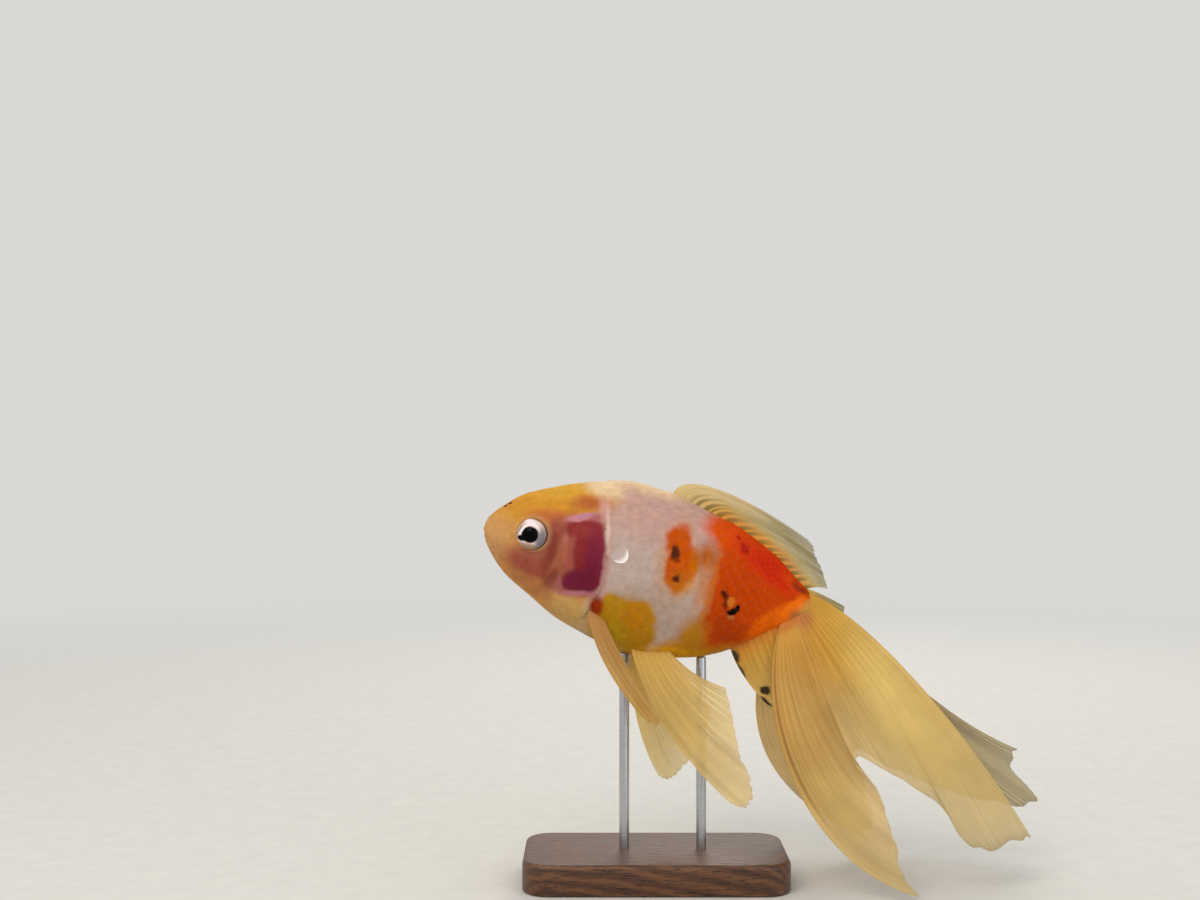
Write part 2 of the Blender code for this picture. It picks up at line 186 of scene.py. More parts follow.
camera = bpy.data.objects.new("camera", bpy.data.cameras.new("camera"))
camera.location = CAMERA_AT
camera.rotation_euler = (math.radians(90), 0, 0)
camera.data.sensor_width = SENSOR_WIDTH
camera.data.lens = LENS
camera.data.clip_start = 0.01
bpy.context.scene.collection.objects.link(camera)
bpy.context.scene.camera = camera
bpy.context.scene.view_settings.view_transform = "Standard"

LAMPS = {  # place in metres, watts, size in metres, colour
    "key_lamp": ((-0.30, -0.50, 0.62), 2.7, 0.45, "FFF6EA"),
    "fill_lamp": ((0.55, -0.45, 0.25), 0.7, 0.50, "F3F6FF"),
    "back_lamp": ((0.15, 0.55, 0.50), 1.5, 0.40, "FFF9F0"),
}
for lamp_name, (place, watts, size, tint) in LAMPS.items():
    lamp = bpy.data.objects.new(lamp_name, bpy.data.lights.new(lamp_name, "AREA"))
    lamp.data.energy = watts
    lamp.data.size = size
    lamp.data.color = linear(tint)[:3]
    lamp.location = place
    lamp.rotation_euler = (MIDDLE - Vector(place)).to_track_quat("-Z", "Y").to_euler()
    bpy.context.scene.collection.objects.link(lamp)

world_light = bpy.data.worlds.new("pale_room")
world_light.use_nodes = True
feed(world_light.node_tree.nodes["Background"], {"Color": linear("E6E5E2"), "Strength": 0.88})
bpy.context.scene.world = world_light

paper, tree, shader = new_material("matt_pale_card", Roughness=0.9)
fibre = add(tree, "ShaderNodeTexNoise", {"Scale": 900.0, "Detail": 3.0})
tint = add(tree, "ShaderNodeValToRGB", {0: fibre}, [(0.3, "D0CFCB"), (0.7, "D6D5D1")])
room = add(tree, "ShaderNodeTexCoord").outputs["Object"]
far_off = add(tree, "ShaderNodeVectorMath", {0: room}, operation="LENGTH")
fades = {"Value": far_off, "From Min": FADE_START, "From Max": FADE_END, "To Min": 1.0, "To Max": 0.0}
fade = add(tree, "ShaderNodeMapRange", fades, interpolation_type="SMOOTHSTEP")
feed(shader, {"Base Color": tint, "Alpha": fade})
corners = [(-FLOOR, -FLOOR, 0), (FLOOR, -FLOOR, 0), (FLOOR, FLOOR, 0), (-FLOOR, FLOOR, 0)]
floor = new_piece("floor", corners, [(0, 1, 2, 3)], paper)
print("lamps:", ", ".join(LAMPS))

# %% [markdown]
# ## The fish's own axes
#
# The fish swims nose up, at fifteen degrees. Its shape is easier to write along its own body: x
# runs from the snout to the tail, y to its right and z to its back, in millimetres. The frame's
# left eye fixes where those axes lie, and one function turns them to the room's.

# %% Place the fish
PITCH = math.radians(15)
EYE_AT = np.array((12.9, 6.7, 1.8))
COS, SIN = math.cos(PITCH), math.sin(PITCH)
TILT = np.array([[COS, 0, SIN], [0, 1, 0], [-SIN, 0, COS]])
low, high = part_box("eye_left")
SNOUT = np.array((low + high) / 2) / MM - TILT @ (EYE_AT * (1, -1, 1))


def in_room(points):
    """Points in the fish's axes, in millimetres, as points in the room, in metres."""
    return (np.asarray(points, float) @ TILT.T + SNOUT) * MM


def fish_place(tree):
    """A shader's place in the fish's axes, in millimetres."""
    room = add(tree, "ShaderNodeTexCoord").outputs["Object"]
    own = {"Vector": room, "Location": tuple(SNOUT * MM), "Rotation": (0, PITCH, 0), "Scale": (MM,) * 3}
    return add(tree, "ShaderNodeMapping", own, vector_type="TEXTURE")


print("the snout is at", np.round(SNOUT, 2), "mm")

# %% [markdown]
# ## Markings
#
# Calico goldfish are patched: orange and red lie over a white body, and black sits in small flecks.
# The patches could be painted by hand on an image, but soft blots in the fish's own axes stay sharp
# at any size and go round onto the scales too. Each row of a table is one blot, laid over those
# before it, and a little noise frays their edges as real pigment does. A few rows hold painted light
# as well as pigment: a highlight along the back, on the cheek bone and on the gill cover's upper
# edge, and the belly's lower edge made lighter where it lies in shade.

# %% Lay out the markings
FAR = 1000.0  # a blot reaches through the whole width of the fish
WHITE_FLESH = "B8A299"

# colour, middle (x, z), reach (x, z), turn in degrees (rear end down), softness, strength
BOTH_SIDES = [
    ("BC948A", (40, 17), (20, 9), 8, 0.6, 0.9),  # pinkish upper flank
    ("B39E96", (40, -2), (12, 7), 0, 0.7, 0.8),
    ("A89080", (50, -8), (7, 6), 0, 0.7, 0.8),
    ("A68C76", (41, -8.0), (6, 3.4), 0, 0.7, 0.8),
    # partly painted highlight: the cream band along the back also stands for light on the top of the back
    ("D8B88C", (36, 22.4), (15, 2.6), 3, 0.6, 0.9),  # cream along the back
    ("AC7C14", (41.0, -15), (8.6, 8.0), 0, 0.16, 1),  # mustard belly
    ("AC7C14", (37.0, -11), (4.4, 4.0), 0, 0.25, 1),
    ("AC7810", (44.6, -16.5), (4.8, 5.4), 0, 0.25, 1),
    ("B07A14", (45.0, -10), (3.0, 3.4), 0, 0.3, 1),
    ("B0720A", (43, -11), (3, 3.6), 0, 0.5, 1),
    ("A8840C", (38, -18), (5, 4), 0, 0.6, 1),
    ("C04200", (158, 2), (98.4, 140), 0, 0.022, 1),  # the orange saddle, out to the tail
    ("D04A00", (61.0, 15.0), (6, 4), 20, 0.5, 1),
    ("BC3E00", (67, 4), (7, 6), 0, 0.7, 1),
    ("C83200", (72.6, 9.6), (11, 3.4), 27, 0.6, 1),  # red along its upper edge
    ("BE2400", (75.5, 8.4), (6.6, 2.6), 27, 0.6, 1),
    ("D04200", (80.4, 7.0), (2.8, 1.2), 27, 0.7, 0.8),
    ("AC3800", (66, -9), (5, 5.5), 0, 0.7, 0.9),
    ("C27E14", (66, -17.2), (8, 2.8), -28, 0.6, 1),
    ("C06A10", (60.0, -1.0), (0.9, 11.0), 2, 0.8, 0.75),
    ("BC820C", (57.6, -18.6), (7.6, 4.4), -8, 0.5, 1),  # ochre between the white and the saddle
    ("B07414", (58.8, -12.8), (3.4, 5.0), 8, 0.7, 1),
    # painted light: the belly's lower edge is made brighter, for light thrown up from below
    ("DC9E0A", (57.5, -19.6), (8.0, 2.6), -6, 0.7, 1),
    ("8A2A04", (83.2, 6.0), (2.9, 0.9), 27, 0.6, 0.95),
    ("CC9648", (126.4, -41.1), (60.6, 60.6), 0, 0.013, 1),  # the orange stops where the tail begins
    ("D08A30", (74.0, -12.6), (6.0, 2.2), -34, 0.5, 0.9),
    ("E26200", (78.4, -4.4), (7.6, 3.0), -50, 0.3, 1),  # bright rear edge
    ("EC7008", (82.6, 0.6), (4.4, 1.6), -56, 0.5, 0.9),
    ("B06438", (85.2, -2.6), (1.8, 3.0), -40, 0.6, 0.85),
    ("BB8148", (6, -4), (25.6, 27), 0, 0.07, 1),  # the head
    ("C19A5C", (27, -15), (7, 4.5), 25, 0.6, 0.9),  # throat
    ("C8944C", (14, -13), (8, 3), 35, 0.6, 0.8),
    ("C8965A", (3, 3), (7, 8), 0, 0.6, 0.9),  # snout
    ("BE8E60", (4, -4), (4, 4), 0, 0.7, 0.7),
    ("C88C30", (16, 11.2), (15, 5.2), -19, 0.4, 1),  # golden cap
    ("CE9A38", (17, 15.6), (10, 3), -17, 0.6, 1),
    ("AC6034", (25.0, 13.4), (4.2, 1.9), -14, 0.7, 0.95),
    ("DFC39C", (28, 18.4), (5, 2.6), -5, 0.6, 0.9),
    ("BA6838", (17, 7.6), (6, 1.7), -10, 0.7, 0.9),
    ("B47450", (9.8, -4.6), (3.6, 3.0), 0, 0.8, 0.5),  # cheeks
    ("94493A", (15.0, -5.8), (7.0, 3.3), 8, 0.5, 0.95),
    ("9C5A48", (14.6, -2.6), (3.6, 1.8), 0, 0.7, 0.8),
    ("9A5044", (18.6, 4.4), (2.6, 3.4), 0, 0.6, 0.95),
    ("7E382E", (18.8, -1.0), (2.2, 5.4), -4, 0.7, 0.95),
    ("9A4C44", (23.2, 0.5), (2.4, 8.0), -8, 0.6, 0.95),
    ("7C3E2E", (20.6, -7.4), (2.2, 3.4), 20, 0.7, 0.85),
    # the paler band on the cheek bone's ridge is partly its own colour and partly a painted highlight
    ("AC6656", (21.5, 2.8), (0.7, 4.4), -10, 0.8, 0.85),  # the cheek bone shows paler
    ("A25A44", (20.8, -2.2), (0.7, 3.9), 18, 0.8, 0.85),
    ("A86A44", (15.5, -10.8), (6, 2), 18, 0.7, 0.8),
    ("B48E68", (EYE_AT[0] + 0.4, EYE_AT[2] + 0.55), (4.5, 4.5), 0, 0.16, 0.5),  # rim of the eye
    ("9A4E4A", (25.5, 8.2), (5.0, 1.6), -13, 0.6, 0.95),
    ("9C5654", (26.4, -8.4), (5.4, 2.0), -10, 0.6, 0.95),
    ("842C2E", (28.2, 0.6), (4.0, 9.4), -10, 0.2, 1),  # gill showing through its cover
    ("8A3036", (25.2, 6.6), (4.9, 2.2), -11, 0.3, 1),
    ("863038", (28.9, 5.2), (2.0, 3.6), -14, 0.3, 1),
    ("7A2838", (30.7, -2.8), (2.0, 5.0), -6, 0.2, 1),
    ("722438", (27.8, -6.3), (4.3, 2.9), 3, 0.3, 1),
    ("722438", (25.2, -7.3), (1.9, 1.8), 0, 0.4, 1),
    ("742038", (29.6, 1.0), (2.7, 5.2), -8, 0.7, 0.8),
    ("641A2C", (29.4, -5.0), (3.2, 3.8), 0, 0.7, 0.8),
    ("681E34", (25.6, -6.6), (1.9, 2.2), -10, 0.6, 0.7),
    ("8C3832", (24.4, 5.8), (2.6, 1.4), -12, 0.7, 0.7),
    ("B4747C", (27.6, -9.4), (4.8, 0.6), -13, 0.8, 0.75),
    ("9A5C60", (22.8, -8.2), (0.7, 2.4), -14, 0.8, 0.45),
    ("A86466", (28.2, 10.6), (2.8, 1.0), -24, 0.6, 0.9),
    # painted highlight: the lilac strip along the gill cover's upper edge
    ("BE7C84", (23.5, 9.3), (3.8, 0.9), -25, 0.4, 1),  # lilac upper edge
    ("B87E92", (24.4, 9.9), (2.3, 0.55), -25, 0.6, 0.9),
    ("C8968E", (29.2, 12.8), (1.3, 2.8), -22, 0.7, 0.8),
    ("B98C86", (33.0, -1.0), (0.8, 8), -5, 0.7, 0.8),  # its rear edge
    ("E2C6B8", (31.3, 8.0), (0.5, 4.8), -15, 0.8, 0.65),
    ("8E300A", (33.2, -11.3), (1.7, 2.6), -12, 0.45, 1),  # red at the breast fin
]
LEFT_SIDE = [
    ("C08454", (49.6, 6.0), (4.0, 8.8), 0, 0.6, 0.7),  # rim of the orange spot
    ("C88630", (52.9, 2.4), (3.0, 5.6), 0, 0.45, 0.8),
    ("BC4C04", (49.4, 9.6), (3.2, 4.6), -6, 0.3, 1),
    ("BA5008", (49.8, 3.4), (2.4, 4.6), 0, 0.3, 1),
    ("BE4E00", (52.2, 5.6), (3.4, 4.6), 0, 0.3, 1),
    ("C06800", (54.6, 4.6), (1.3, 4.4), 0, 0.7, 0.75),
    ("B8600E", (51.4, 0.2), (2.1, 3.0), 10, 0.4, 1),
    ("A8581C", (57.4, 8.0), (2.7, 3.6), 0, 0.7, 1),
    ("C07A40", (57.8, 0.5), (1.5, 6), 0, 0.8, 0.7),
    ("4A1C0C", (49.2, 6.7), (1.0, 1.9), -12, 0.5, 1),
    ("7A3010", (50.3, 5.0), (0.9, 0.7), 20, 0.5, 0.9),
    ("561F0A", (50.9, 0.9), (1.0, 1.0), 0, 0.55, 1),
    ("A51E04", (66.6, 12.4), (1.5, 1.0), 20, 0.5, 1),
    ("A51E04", (64.6, 14.2), (0.6, 0.5), 20, 0.5, 0.9),
    ("501A06", (64.4, -0.1), (1.0, 1.0), 10, 0.5, 1),
    ("6A2606", (64.9, -2.2), (0.5, 2.0), -4, 0.5, 0.9),
    ("C86C1E", (66.3, -1.7), (1.0, 1.3), 0, 0.45, 1),
    ("0C0301", (67.3, -4.1), (1.6, 1.0), -22, 0.3, 1),
    ("0C0301", (68.4, -3.1), (0.8, 0.6), -40, 0.3, 1),
    ("B46A34", (67.2, -5.7), (1.0, 0.6), 0, 0.5, 0.9),
]
RIGHT_SIDE = [  # the far side, where calico fish wear other blots
    ("C98A34", (40, 9), (5.2, 4.4), 15, 0.3, 0.9),
    ("CB5206", (40.6, 9.4), (4.0, 3.3), 15, 0.25, 1),
    ("B98C62", (52, 2), (3.4, 4.6), 0, 0.7, 0.7),
    ("C9560A", (55.5, 5), (3.4, 5.4), -10, 0.3, 1),
    ("5E2812", (42.6, 8.4), (1.0, 0.8), 0, 0.4, 1),
    ("1C0702", (60.5, 9.8), (1.3, 1.0), 30, 0.35, 1),
    ("2A0C04", (70.8, 3.4), (0.8, 1.4), 10, 0.4, 1),
    ("5E2812", (48, -9.6), (0.8, 0.6), 0, 0.4, 0.9),
]


def painted(tree, place, colour, blots):
    """The colour, with each blot of the table laid over what is below it."""
    for tint, (x, z), (long, high), turn, soft, strength in blots:
        blot = {"Vector": place, "Location": (x, 0, z), "Rotation": (0, math.radians(turn), 0)}
        blot["Scale"] = (long * (1 + soft), FAR, high * (1 + soft))
        spot = add(tree, "ShaderNodeMapping", blot, vector_type="TEXTURE")
        inside = add(tree, "ShaderNodeTexGradient", {"Vector": spot}, gradient_type="SPHERICAL")
        edges = {"Value": inside.outputs["Fac"], "From Max": 2 * soft / (1 + soft), "To Max": strength}
        share = add(tree, "ShaderNodeMapRange", edges, interpolation_type="SMOOTHSTEP", clamp=False)
        colour = add(tree, "ShaderNodeMix", {0: share, 6: colour, 7: linear(tint)}, data_type="RGBA")
    return colour


def frayed(tree, place, sizes, loose=1.0):
    """The place, pushed about by noise: sizes are pairs of grain and push, in millimetres."""
    for grain, push in sizes:
        noise = add(tree, "ShaderNodeTexNoise", {"Vector": place, "Scale": 1 / grain, "Detail": 2.0})
        middle = {0: noise.outputs["Color"], 1: (0.5, 0.5, 0.5)}
        middle = add(tree, "ShaderNodeVectorMath", middle, operation="SUBTRACT")
        reach = add(tree, "ShaderNodeMath", {0: loose, 1: push * 2}, operation="MULTIPLY")
        shift = add(tree, "ShaderNodeVectorMath", {0: middle, "Scale": reach}, operation="SCALE")
        place = add(tree, "ShaderNodeMapping", {"Vector": place, "Location": shift})
    return place


markings = bpy.data.node_groups.new("calico_markings", "ShaderNodeTree")
markings.interface.new_socket("Color", in_out="OUTPUT", socket_type="NodeSocketColor")
place = fish_place(markings)
along = add(markings, "ShaderNodeSeparateXYZ", {0: place}).outputs["X"]
loose = {"Value": along, "From Min": 30.0, "From Max": 38.0, "To Min": 0.25, "To Max": 1.0}
loose = add(markings, "ShaderNodeMapRange", loose)  # the head's markings have calmer edges
edge_place = frayed(markings, place, [(4.0, 1.3), (0.9, 0.45)], loose)
whole = painted(markings, edge_place, linear(WHITE_FLESH), BOTH_SIDES)
left = painted(markings, edge_place, whole, LEFT_SIDE)
right = painted(markings, edge_place, whole, RIGHT_SIDE)
across = add(markings, "ShaderNodeSeparateXYZ", {0: edge_place}).outputs["Y"]
side = add(markings, "ShaderNodeMapRange", {"Value": across, "From Min": -1.0, "From Max": 1.0})
both = add(markings, "ShaderNodeMix", {0: side, 6: left, 7: right}, data_type="RGBA")
cloud = add(markings, "ShaderNodeTexNoise", {"Vector": place, "Scale": 0.55, "Detail": 5.0})
depth = {"Value": cloud, "From Min": 0.3, "From Max": 0.7, "To Min": 0.90, "To Max": 1.10}
depth = add(markings, "ShaderNodeMapRange", depth)
toned = add(markings, "ShaderNodeVectorMath", {0: both, "Scale": depth}, operation="SCALE")
add(markings, "NodeGroupOutput", {0: toned})
print(len(BOTH_SIDES) + len(LEFT_SIDE) + len(RIGHT_SIDE), "blots,", len(markings.nodes), "nodes")

# %% [markdown]
# ## The body's form
#
# A fish's trunk is a row of cross sections strung along a spine, so a loft suits it better than a
# sculpted ball: a short table gives each section's back, belly, width and widest line, and a smooth
# curve fills in the rest. The sections are a little fuller than ellipses.

# %% Loft the body
STATIONS = [  # x, back, belly, half width, height of the widest line
    (0.0, 0.3, 0.3, 0.0, 0.3),
    (0.5, 3.0, -1.8, 3.0, 0.2),
    (3.0, 6.4, -5.6, 5.5, 0.2),
    (8.0, 11.2, -10.1, 7.6, 0.4),
    (15.0, 15.0, -13.7, 8.9, 0.6),
    (24.0, 18.7, -17.9, 11.2, -0.4),
    (34.0, 21.5, -20.6, 13.0, -2.0),
    (44.0, 21.2, -22.1, 13.5, -2.6),
    (54.0, 18.9, -20.6, 12.3, -2.2),
    (63.0, 17.0, -18.0, 9.9, -1.0),
    (71.0, 14.0, -13.6, 7.2, 0.4),
    (78.0, 10.5, -8.1, 4.9, 1.4),
    (84.0, 7.1, -4.0, 3.3, 1.8),
    (86.6, 5.2, -2.0, 2.2, 1.7),
    (87.6, 1.6, 1.6, 0.0, 1.6),
]
FULLNESS = 2.15  # 2 would make each section an ellipse
COAT_DEPTH = 0.15  # the skin lies this far inside the frame's solids, and the scales fill it
AROUND, ALONG = 216, 440  # points round each section, and sections


def between_rows(rows, slopes, i, f, width=1.0):
    """A smooth curve through rows of a table, at the share f of the way from row i to the next."""
    start = (2 * f**3 - 3 * f**2 + 1) * rows[i] + (f**3 - 2 * f**2 + f) * width * slopes[i]
    return start + (3 * f**2 - 2 * f**3) * rows[i + 1] + (f**3 - f**2) * width * slopes[i + 1]


def sections(places):
    """Sections of the body at places from 0, the snout, to 1, the tail."""
    rows = np.array(STATIONS)
    step = np.sqrt(np.linalg.norm(np.diff(rows, axis=0), axis=1))
    knots = np.concatenate([[0.0], np.cumsum(step)])
    slope = np.diff(rows, axis=0) / step[:, None]
    tangent = np.zeros_like(rows)
    before, after = step[:-1, None], step[1:, None]
    tangent[1:-1] = (slope[:-1] * after + slope[1:] * before) / (before + after)
    tangent[0] = 2 * slope[0] - tangent[1]
    tangent[-1] = 2 * slope[-1] - tangent[-2]
    at = np.asarray(places) * knots[-1]
    i = np.clip(np.searchsorted(knots, at, side="right") - 1, 0, len(step) - 1)
    width = step[i][:, None]
    f = ((at - knots[i]) / step[i])[:, None]
    return between_rows(rows, tangent, i, f, width)


def on_body(places, turns):
    """Points of the plain body: turns run from 0 at the belly, over the right side, to 1."""
    x, back, belly, half, widest = sections(np.ravel(places)).T.reshape(5, *np.shape(places))
    angle = (turns - 0.25) * 2 * math.pi
    c, s = np.cos(angle), np.sin(angle)
    power = 2 / FULLNESS
    reach = np.where(s > 0, back - widest, widest - belly)
    y = half * np.sign(c) * np.abs(c) ** power
    z = widest + reach * np.sign(s) * np.abs(s) ** power
    return np.stack([x, y, z], -1)


def outward(points):
    """Unit normals of a grid of points that is closed round its second axis."""
    wrapped = np.concatenate([points[:, -1:], points, points[:, :1]], axis=1)
    around = wrapped[:, 2:] - wrapped[:, :-2]
    along = np.gradient(points, axis=0)
    normal = np.cross(around, along)
    return normal / np.maximum(np.linalg.norm(normal, axis=-1, keepdims=True), 1e-9)


spread = np.linspace(0, 1, ALONG) ** 1.15  # rows lie closer on the head, which has the most form
place_grid, turn_grid = np.meshgrid(spread[1:-1], np.arange(AROUND) / AROUND, indexing="ij")
plain_body = on_body(place_grid, turn_grid)
body_normals = outward(plain_body)
if body_normals[ALONG // 2, AROUND // 2, 2] < 0:
    body_normals = -body_normals
print("the body is", round(float(np.ptp(plain_body[..., 0])), 1), "mm long")

# %% [markdown]
# ## The skin's relief
#
# The head gives a fish its face: lips round a small mouth, a nostril with its flap, a rim round the
# eye, the ridge of the cheek bone and the step at the edge of the gill cover. These are real forms,
# so they are moved in the mesh rather than faked in a shader. Each one is a distance to a point or
# to a line on the flank, run through a smooth hump or hollow.

# %% Sculpt the skin
GILL_LINE = [  # points x, z of each line
    (25.4, 30), (26.2, 17.5), (29.5, 10.3), (32.2, 2), (33.3, -6), (31.6, -13.6), (27.6, -20.5), (25, -30)
]
COVER_LINE = [
    (28, 11.2), (23, 10), (21.2, 7), (22.6, 2), (23.7, -5), (22.9, -10.5), (22.6, -14.5), (26.5, -16.8)
]
CHEEK_RIDGE = [(19.2, 8.6), (20.3, 4), (21.0, -1), (20.6, -6), (18.0, -10.4), (13.6, -12.8)]
MOUTH_LINE = [(-1.5, -1.0), (0.3, -1.2), (2.0, -2.6), (3.9, -4.3)]
JAW_CREASE = [(3.9, -4.3), (6.2, -6.4), (8.6, -9.4), (9.6, -13.5)]
LINE_POINTS = 24  # each line is measured as so many points
NOSTRILS = ((4.2, 6.9, 0.42), (5.4, 7.7, 0.50))  # x, z, width of each hollow
NOSTRIL_ASIDE = 2.9
BREAST_FIN_X, BREAST_FIN_Z = 32.8, -11.4  # the root of the breast fin


def hump(distance, width):
    """1 at no distance, and nearly 0 at twice the width."""
    return np.exp(-((distance / width) ** 2))


def ease(value, start, end):
    """0 before start, 1 after end, and smooth between them."""
    f = np.clip((value - start) / (end - start), 0, 1)
    return f * f * (3 - 2 * f)


def along_line(line, at):
    """Points on a smooth line through a few points, at places counted in those points."""
    rows = np.array(line, float)
    i = np.clip(at.astype(int), 0, len(rows) - 2)
    return between_rows(rows, np.gradient(rows, axis=0), i, (at - i)[..., None])


def line_distance(x, z, line):
    """Distance to a line on the flank, and the side: positive ahead of a line that runs down."""
    best = np.full(x.shape, 1e9)
    side = np.ones(x.shape)
    points = along_line(line, np.linspace(0, len(line) - 1, LINE_POINTS))
    for (ax, az), (bx, bz) in zip(points[:-1], points[1:]):
        dx, dz = bx - ax, bz - az
        f = np.clip(((x - ax) * dx + (z - az) * dz) / (dx * dx + dz * dz), 0, 1)
        away = np.hypot(x - ax - f * dx, z - az - f * dz)
        closer = away < best
        best = np.where(closer, away, best)
        side = np.where(closer, np.sign((x - ax) * dz - (z - az) * dx), side)
    return best, side


def from_nostril(points, x, z):
    """Distance to the nostril on either side of the head."""
    aside = np.abs(points[..., 1]) - NOSTRIL_ASIDE
    return np.sqrt((points[..., 0] - x) ** 2 + aside**2 + (points[..., 2] - z) ** 2)


def relief(points):
    """How far the skin stands out of the plain body at each point, in millimetres."""
    x, y, z = np.moveaxis(points, -1, 0)
    flank = ease(np.abs(y), 1.0, 3.0)
    # The eye's rim, its socket and the groove outside the rim.
    eye = np.hypot(x - EYE_AT[0], z - EYE_AT[2] - 0.12)
    height = 0.36 * hump(eye - 4.25, 0.42) * flank - 1.6 * ease(eye, 4.1, 3.42) * flank
    height -= 0.16 * hump(eye - 5.3, 0.5) * flank
    for nx, nz, wide in NOSTRILS:
        nostril = from_nostril(points, nx, nz)
        height += 0.20 * hump(nostril - 0.75, 0.3) - 0.5 * hump(nostril, wide)
    # The lips and the mouth between them, the crease of the jaw and a soft cheek.
    mouth, _ = line_distance(x, z, MOUTH_LINE)
    height += 0.10 * hump(mouth - 0.8, 0.5) - 0.18 * hump(mouth, 0.24)
    crease, _ = line_distance(x, z, JAW_CREASE)
    height -= 0.20 * hump(crease, 0.5) * flank
    height += 0.22 * hump(np.hypot(x - 5.6, z + 1.8), 1.8) * flank
    # The cheek bone's ridge and the hollow ahead of it.
    ridge, _ = line_distance(x, z, CHEEK_RIDGE)
    height += 0.26 * hump(ridge, 1.0) * flank
    height -= 0.20 * hump(np.hypot((x - 17.6) / 1.3, (z + 0.6) / 6.5), 0.8) * flank
    # The gill cover stands up to its edge, and its front border is a fine groove.
    gill, ahead = line_distance(x, z, GILL_LINE)
    cover, inside = line_distance(x, z, COVER_LINE)
    signed = gill * ahead
    lid = ease(signed, -0.16, 0.14) * ease(-cover * inside, -0.6, 0.6) * ease(z, -19, -14)
    height += 0.34 * lid * ease(z, 12, 6) * flank
    behind = hump(np.minimum(signed, 0), 0.9) * (signed < 0.14)
    height -= 0.34 * behind * ease(z, 13, 7) * ease(z, -16, -12)
    height -= 0.12 * hump(cover, 0.35) * ease(z, 12, 10) * flank
    height += 0.05 * hump(gill - 1.2, 0.5) * (ahead > 0) * flank
    # The roots of the back fin, the breast fins and the belly fins.
    height += 0.55 * (hump(y, 1.5) * ease(x, 42.5, 46) * ease(x, 82, 76) * (z > 0))
    height += 0.5 * hump(np.hypot((x - BREAST_FIN_X) / 1.6, (z - BREAST_FIN_Z) / 1.2), 1.3) * flank
    height += 0.5 * hump(np.hypot((x - 48.5) / 2.6, (np.abs(y) - 5.8) / 1.2), 1.2) * (z < -10)
    # Soft unevenness everywhere behind the lips, and the bands of muscle on the flank.
    wave = np.sin(x * 0.31 + 1.0) * np.sin(z * 0.37 + 2.0)
    wave = wave + 0.5 * np.sin(x * 0.83 + z * 0.71) * np.cos(y * 0.5)
    height += 0.045 * wave * ease(x, 4, 12)
    muscle = np.sin((x + 0.35 * np.abs(z - 1)) * 2 * math.pi / 2.9)
    height += 0.02 * muscle * ease(x, 36, 42) * ease(x, 86, 80)
    return height


heights = relief(plain_body)
skin_points = plain_body + body_normals * (heights - COAT_DEPTH)[..., None]
first = [(STATIONS[0][0] + COAT_DEPTH, 0.0, STATIONS[0][1])]
last = [(STATIONS[-1][0] - COAT_DEPTH, 0.0, STATIONS[-1][1])]
rows = ALONG - 2
grid = np.arange(rows * AROUND).reshape(rows, AROUND) + 1
beside = np.roll(grid, -1, axis=1)
quads = np.stack([grid[:-1], beside[:-1], beside[1:], grid[1:]], -1).reshape(-1, 4)
end = rows * AROUND + 1
faces = quads.tolist()
faces += [(0, b, a) for a, b in zip(grid[0].tolist(), beside[0].tolist())]
faces += [(a, b, end) for a, b in zip(grid[-1].tolist(), beside[-1].tolist())]
skin = new_piece("goldfish_skin", in_room(np.concatenate([first, skin_points.reshape(-1, 3), last])), faces)
face_out(skin.data)
hollow = np.max([hump(from_nostril(plain_body, nx, nz), wide) for nx, nz, wide in NOSTRILS], axis=0)
keep_values(skin.data, hollow=[0.0, *hollow.ravel(), 0.0])
print("relief runs from", round(float(heights.min()), 2), "to", round(float(heights.max()), 2), "mm")

# %% [markdown]
# ## Skin
#
# Fish skin is thin, living tissue under a film of slime. Out of the harsh glare it looks matt, with
# a broad soft sheen, and light sinks a little way into it. So the roughness is middling, the
# subsurface reach is under a millimetre, and the bump is the fine pebbling of the skin, about a
# third of a millimetre across.

# %% Skin material
skin_look, tree, shader = new_material("living_goldfish_skin", IOR=1.38, Specular_IOR_Level=0.03)
feed(shader, {"Subsurface Weight": 0.05, "Subsurface Scale": 0.0005, "Subsurface Radius": (1.0, 0.45, 0.3)})
colour = add(tree, "ShaderNodeGroup", node_tree=markings)
# painted shade: the nostril hollows are darkened towards near black
hollow = add(tree, "ShaderNodeAttribute", attribute_name="hollow").outputs["Fac"]
shaded = add(tree, "ShaderNodeMapRange", {"Value": hollow, "From Min": 0.05, "From Max": 0.35})
colour = add(tree, "ShaderNodeMix", {0: shaded, 6: colour, 7: linear("2E160A")}, data_type="RGBA")
place = fish_place(tree)
pebble = add(tree, "ShaderNodeTexVoronoi", {"Vector": place, "Scale": 2.6})
pore = add(tree, "ShaderNodeTexNoise", {"Vector": place, "Scale": 1.1, "Detail": 4.0})
grain = add(tree, "ShaderNodeMath", {0: pebble.outputs["Distance"], 1: pore}, operation="ADD")
bump = add(tree, "ShaderNodeBump", {"Strength": 0.35, "Distance": 0.00006, "Height": grain})
sheen = add(tree, "ShaderNodeMapRange", {"Value": pore, "To Min": 0.42, "To Max": 0.60})
feed(shader, {"Base Color": colour, "Normal": bump, "Roughness": sheen})
skin.data.materials.append(skin_look)
FLESH = ("head", "lower_jaw", "gill_cover_left", "gill_cover_right", "trunk", "tail_stalk")
dress(skin, "calico_skin", *FLESH)

# %% [markdown]
# ## Scales
#
# Scales are thin clear plates rooted in the skin like roof tiles, each row half a step off the one
# before. Nearly a thousand of them could be copied by hand, but a node tree is made for this: it
# puts one small plate on each root, turns it to the tail, presses it onto the skin and raises its
# free edge. The plates keep their root's place on an unwrap of the body, so a bake can tell them
# apart.

# %% Guide points for the scales
SCALES_AROUND = 30
SCALES_FROM, SCALES_TO = 26.0, 84.6  # places of the first and the last row, in millimetres
GUIDE_STEPS, GIRTH_STEPS = 1200, 60
PATCH = 0.003  # each scale takes up so much of the unwrap
NUDGE = 0.004  # a short way along the body or round it, which gives a direction


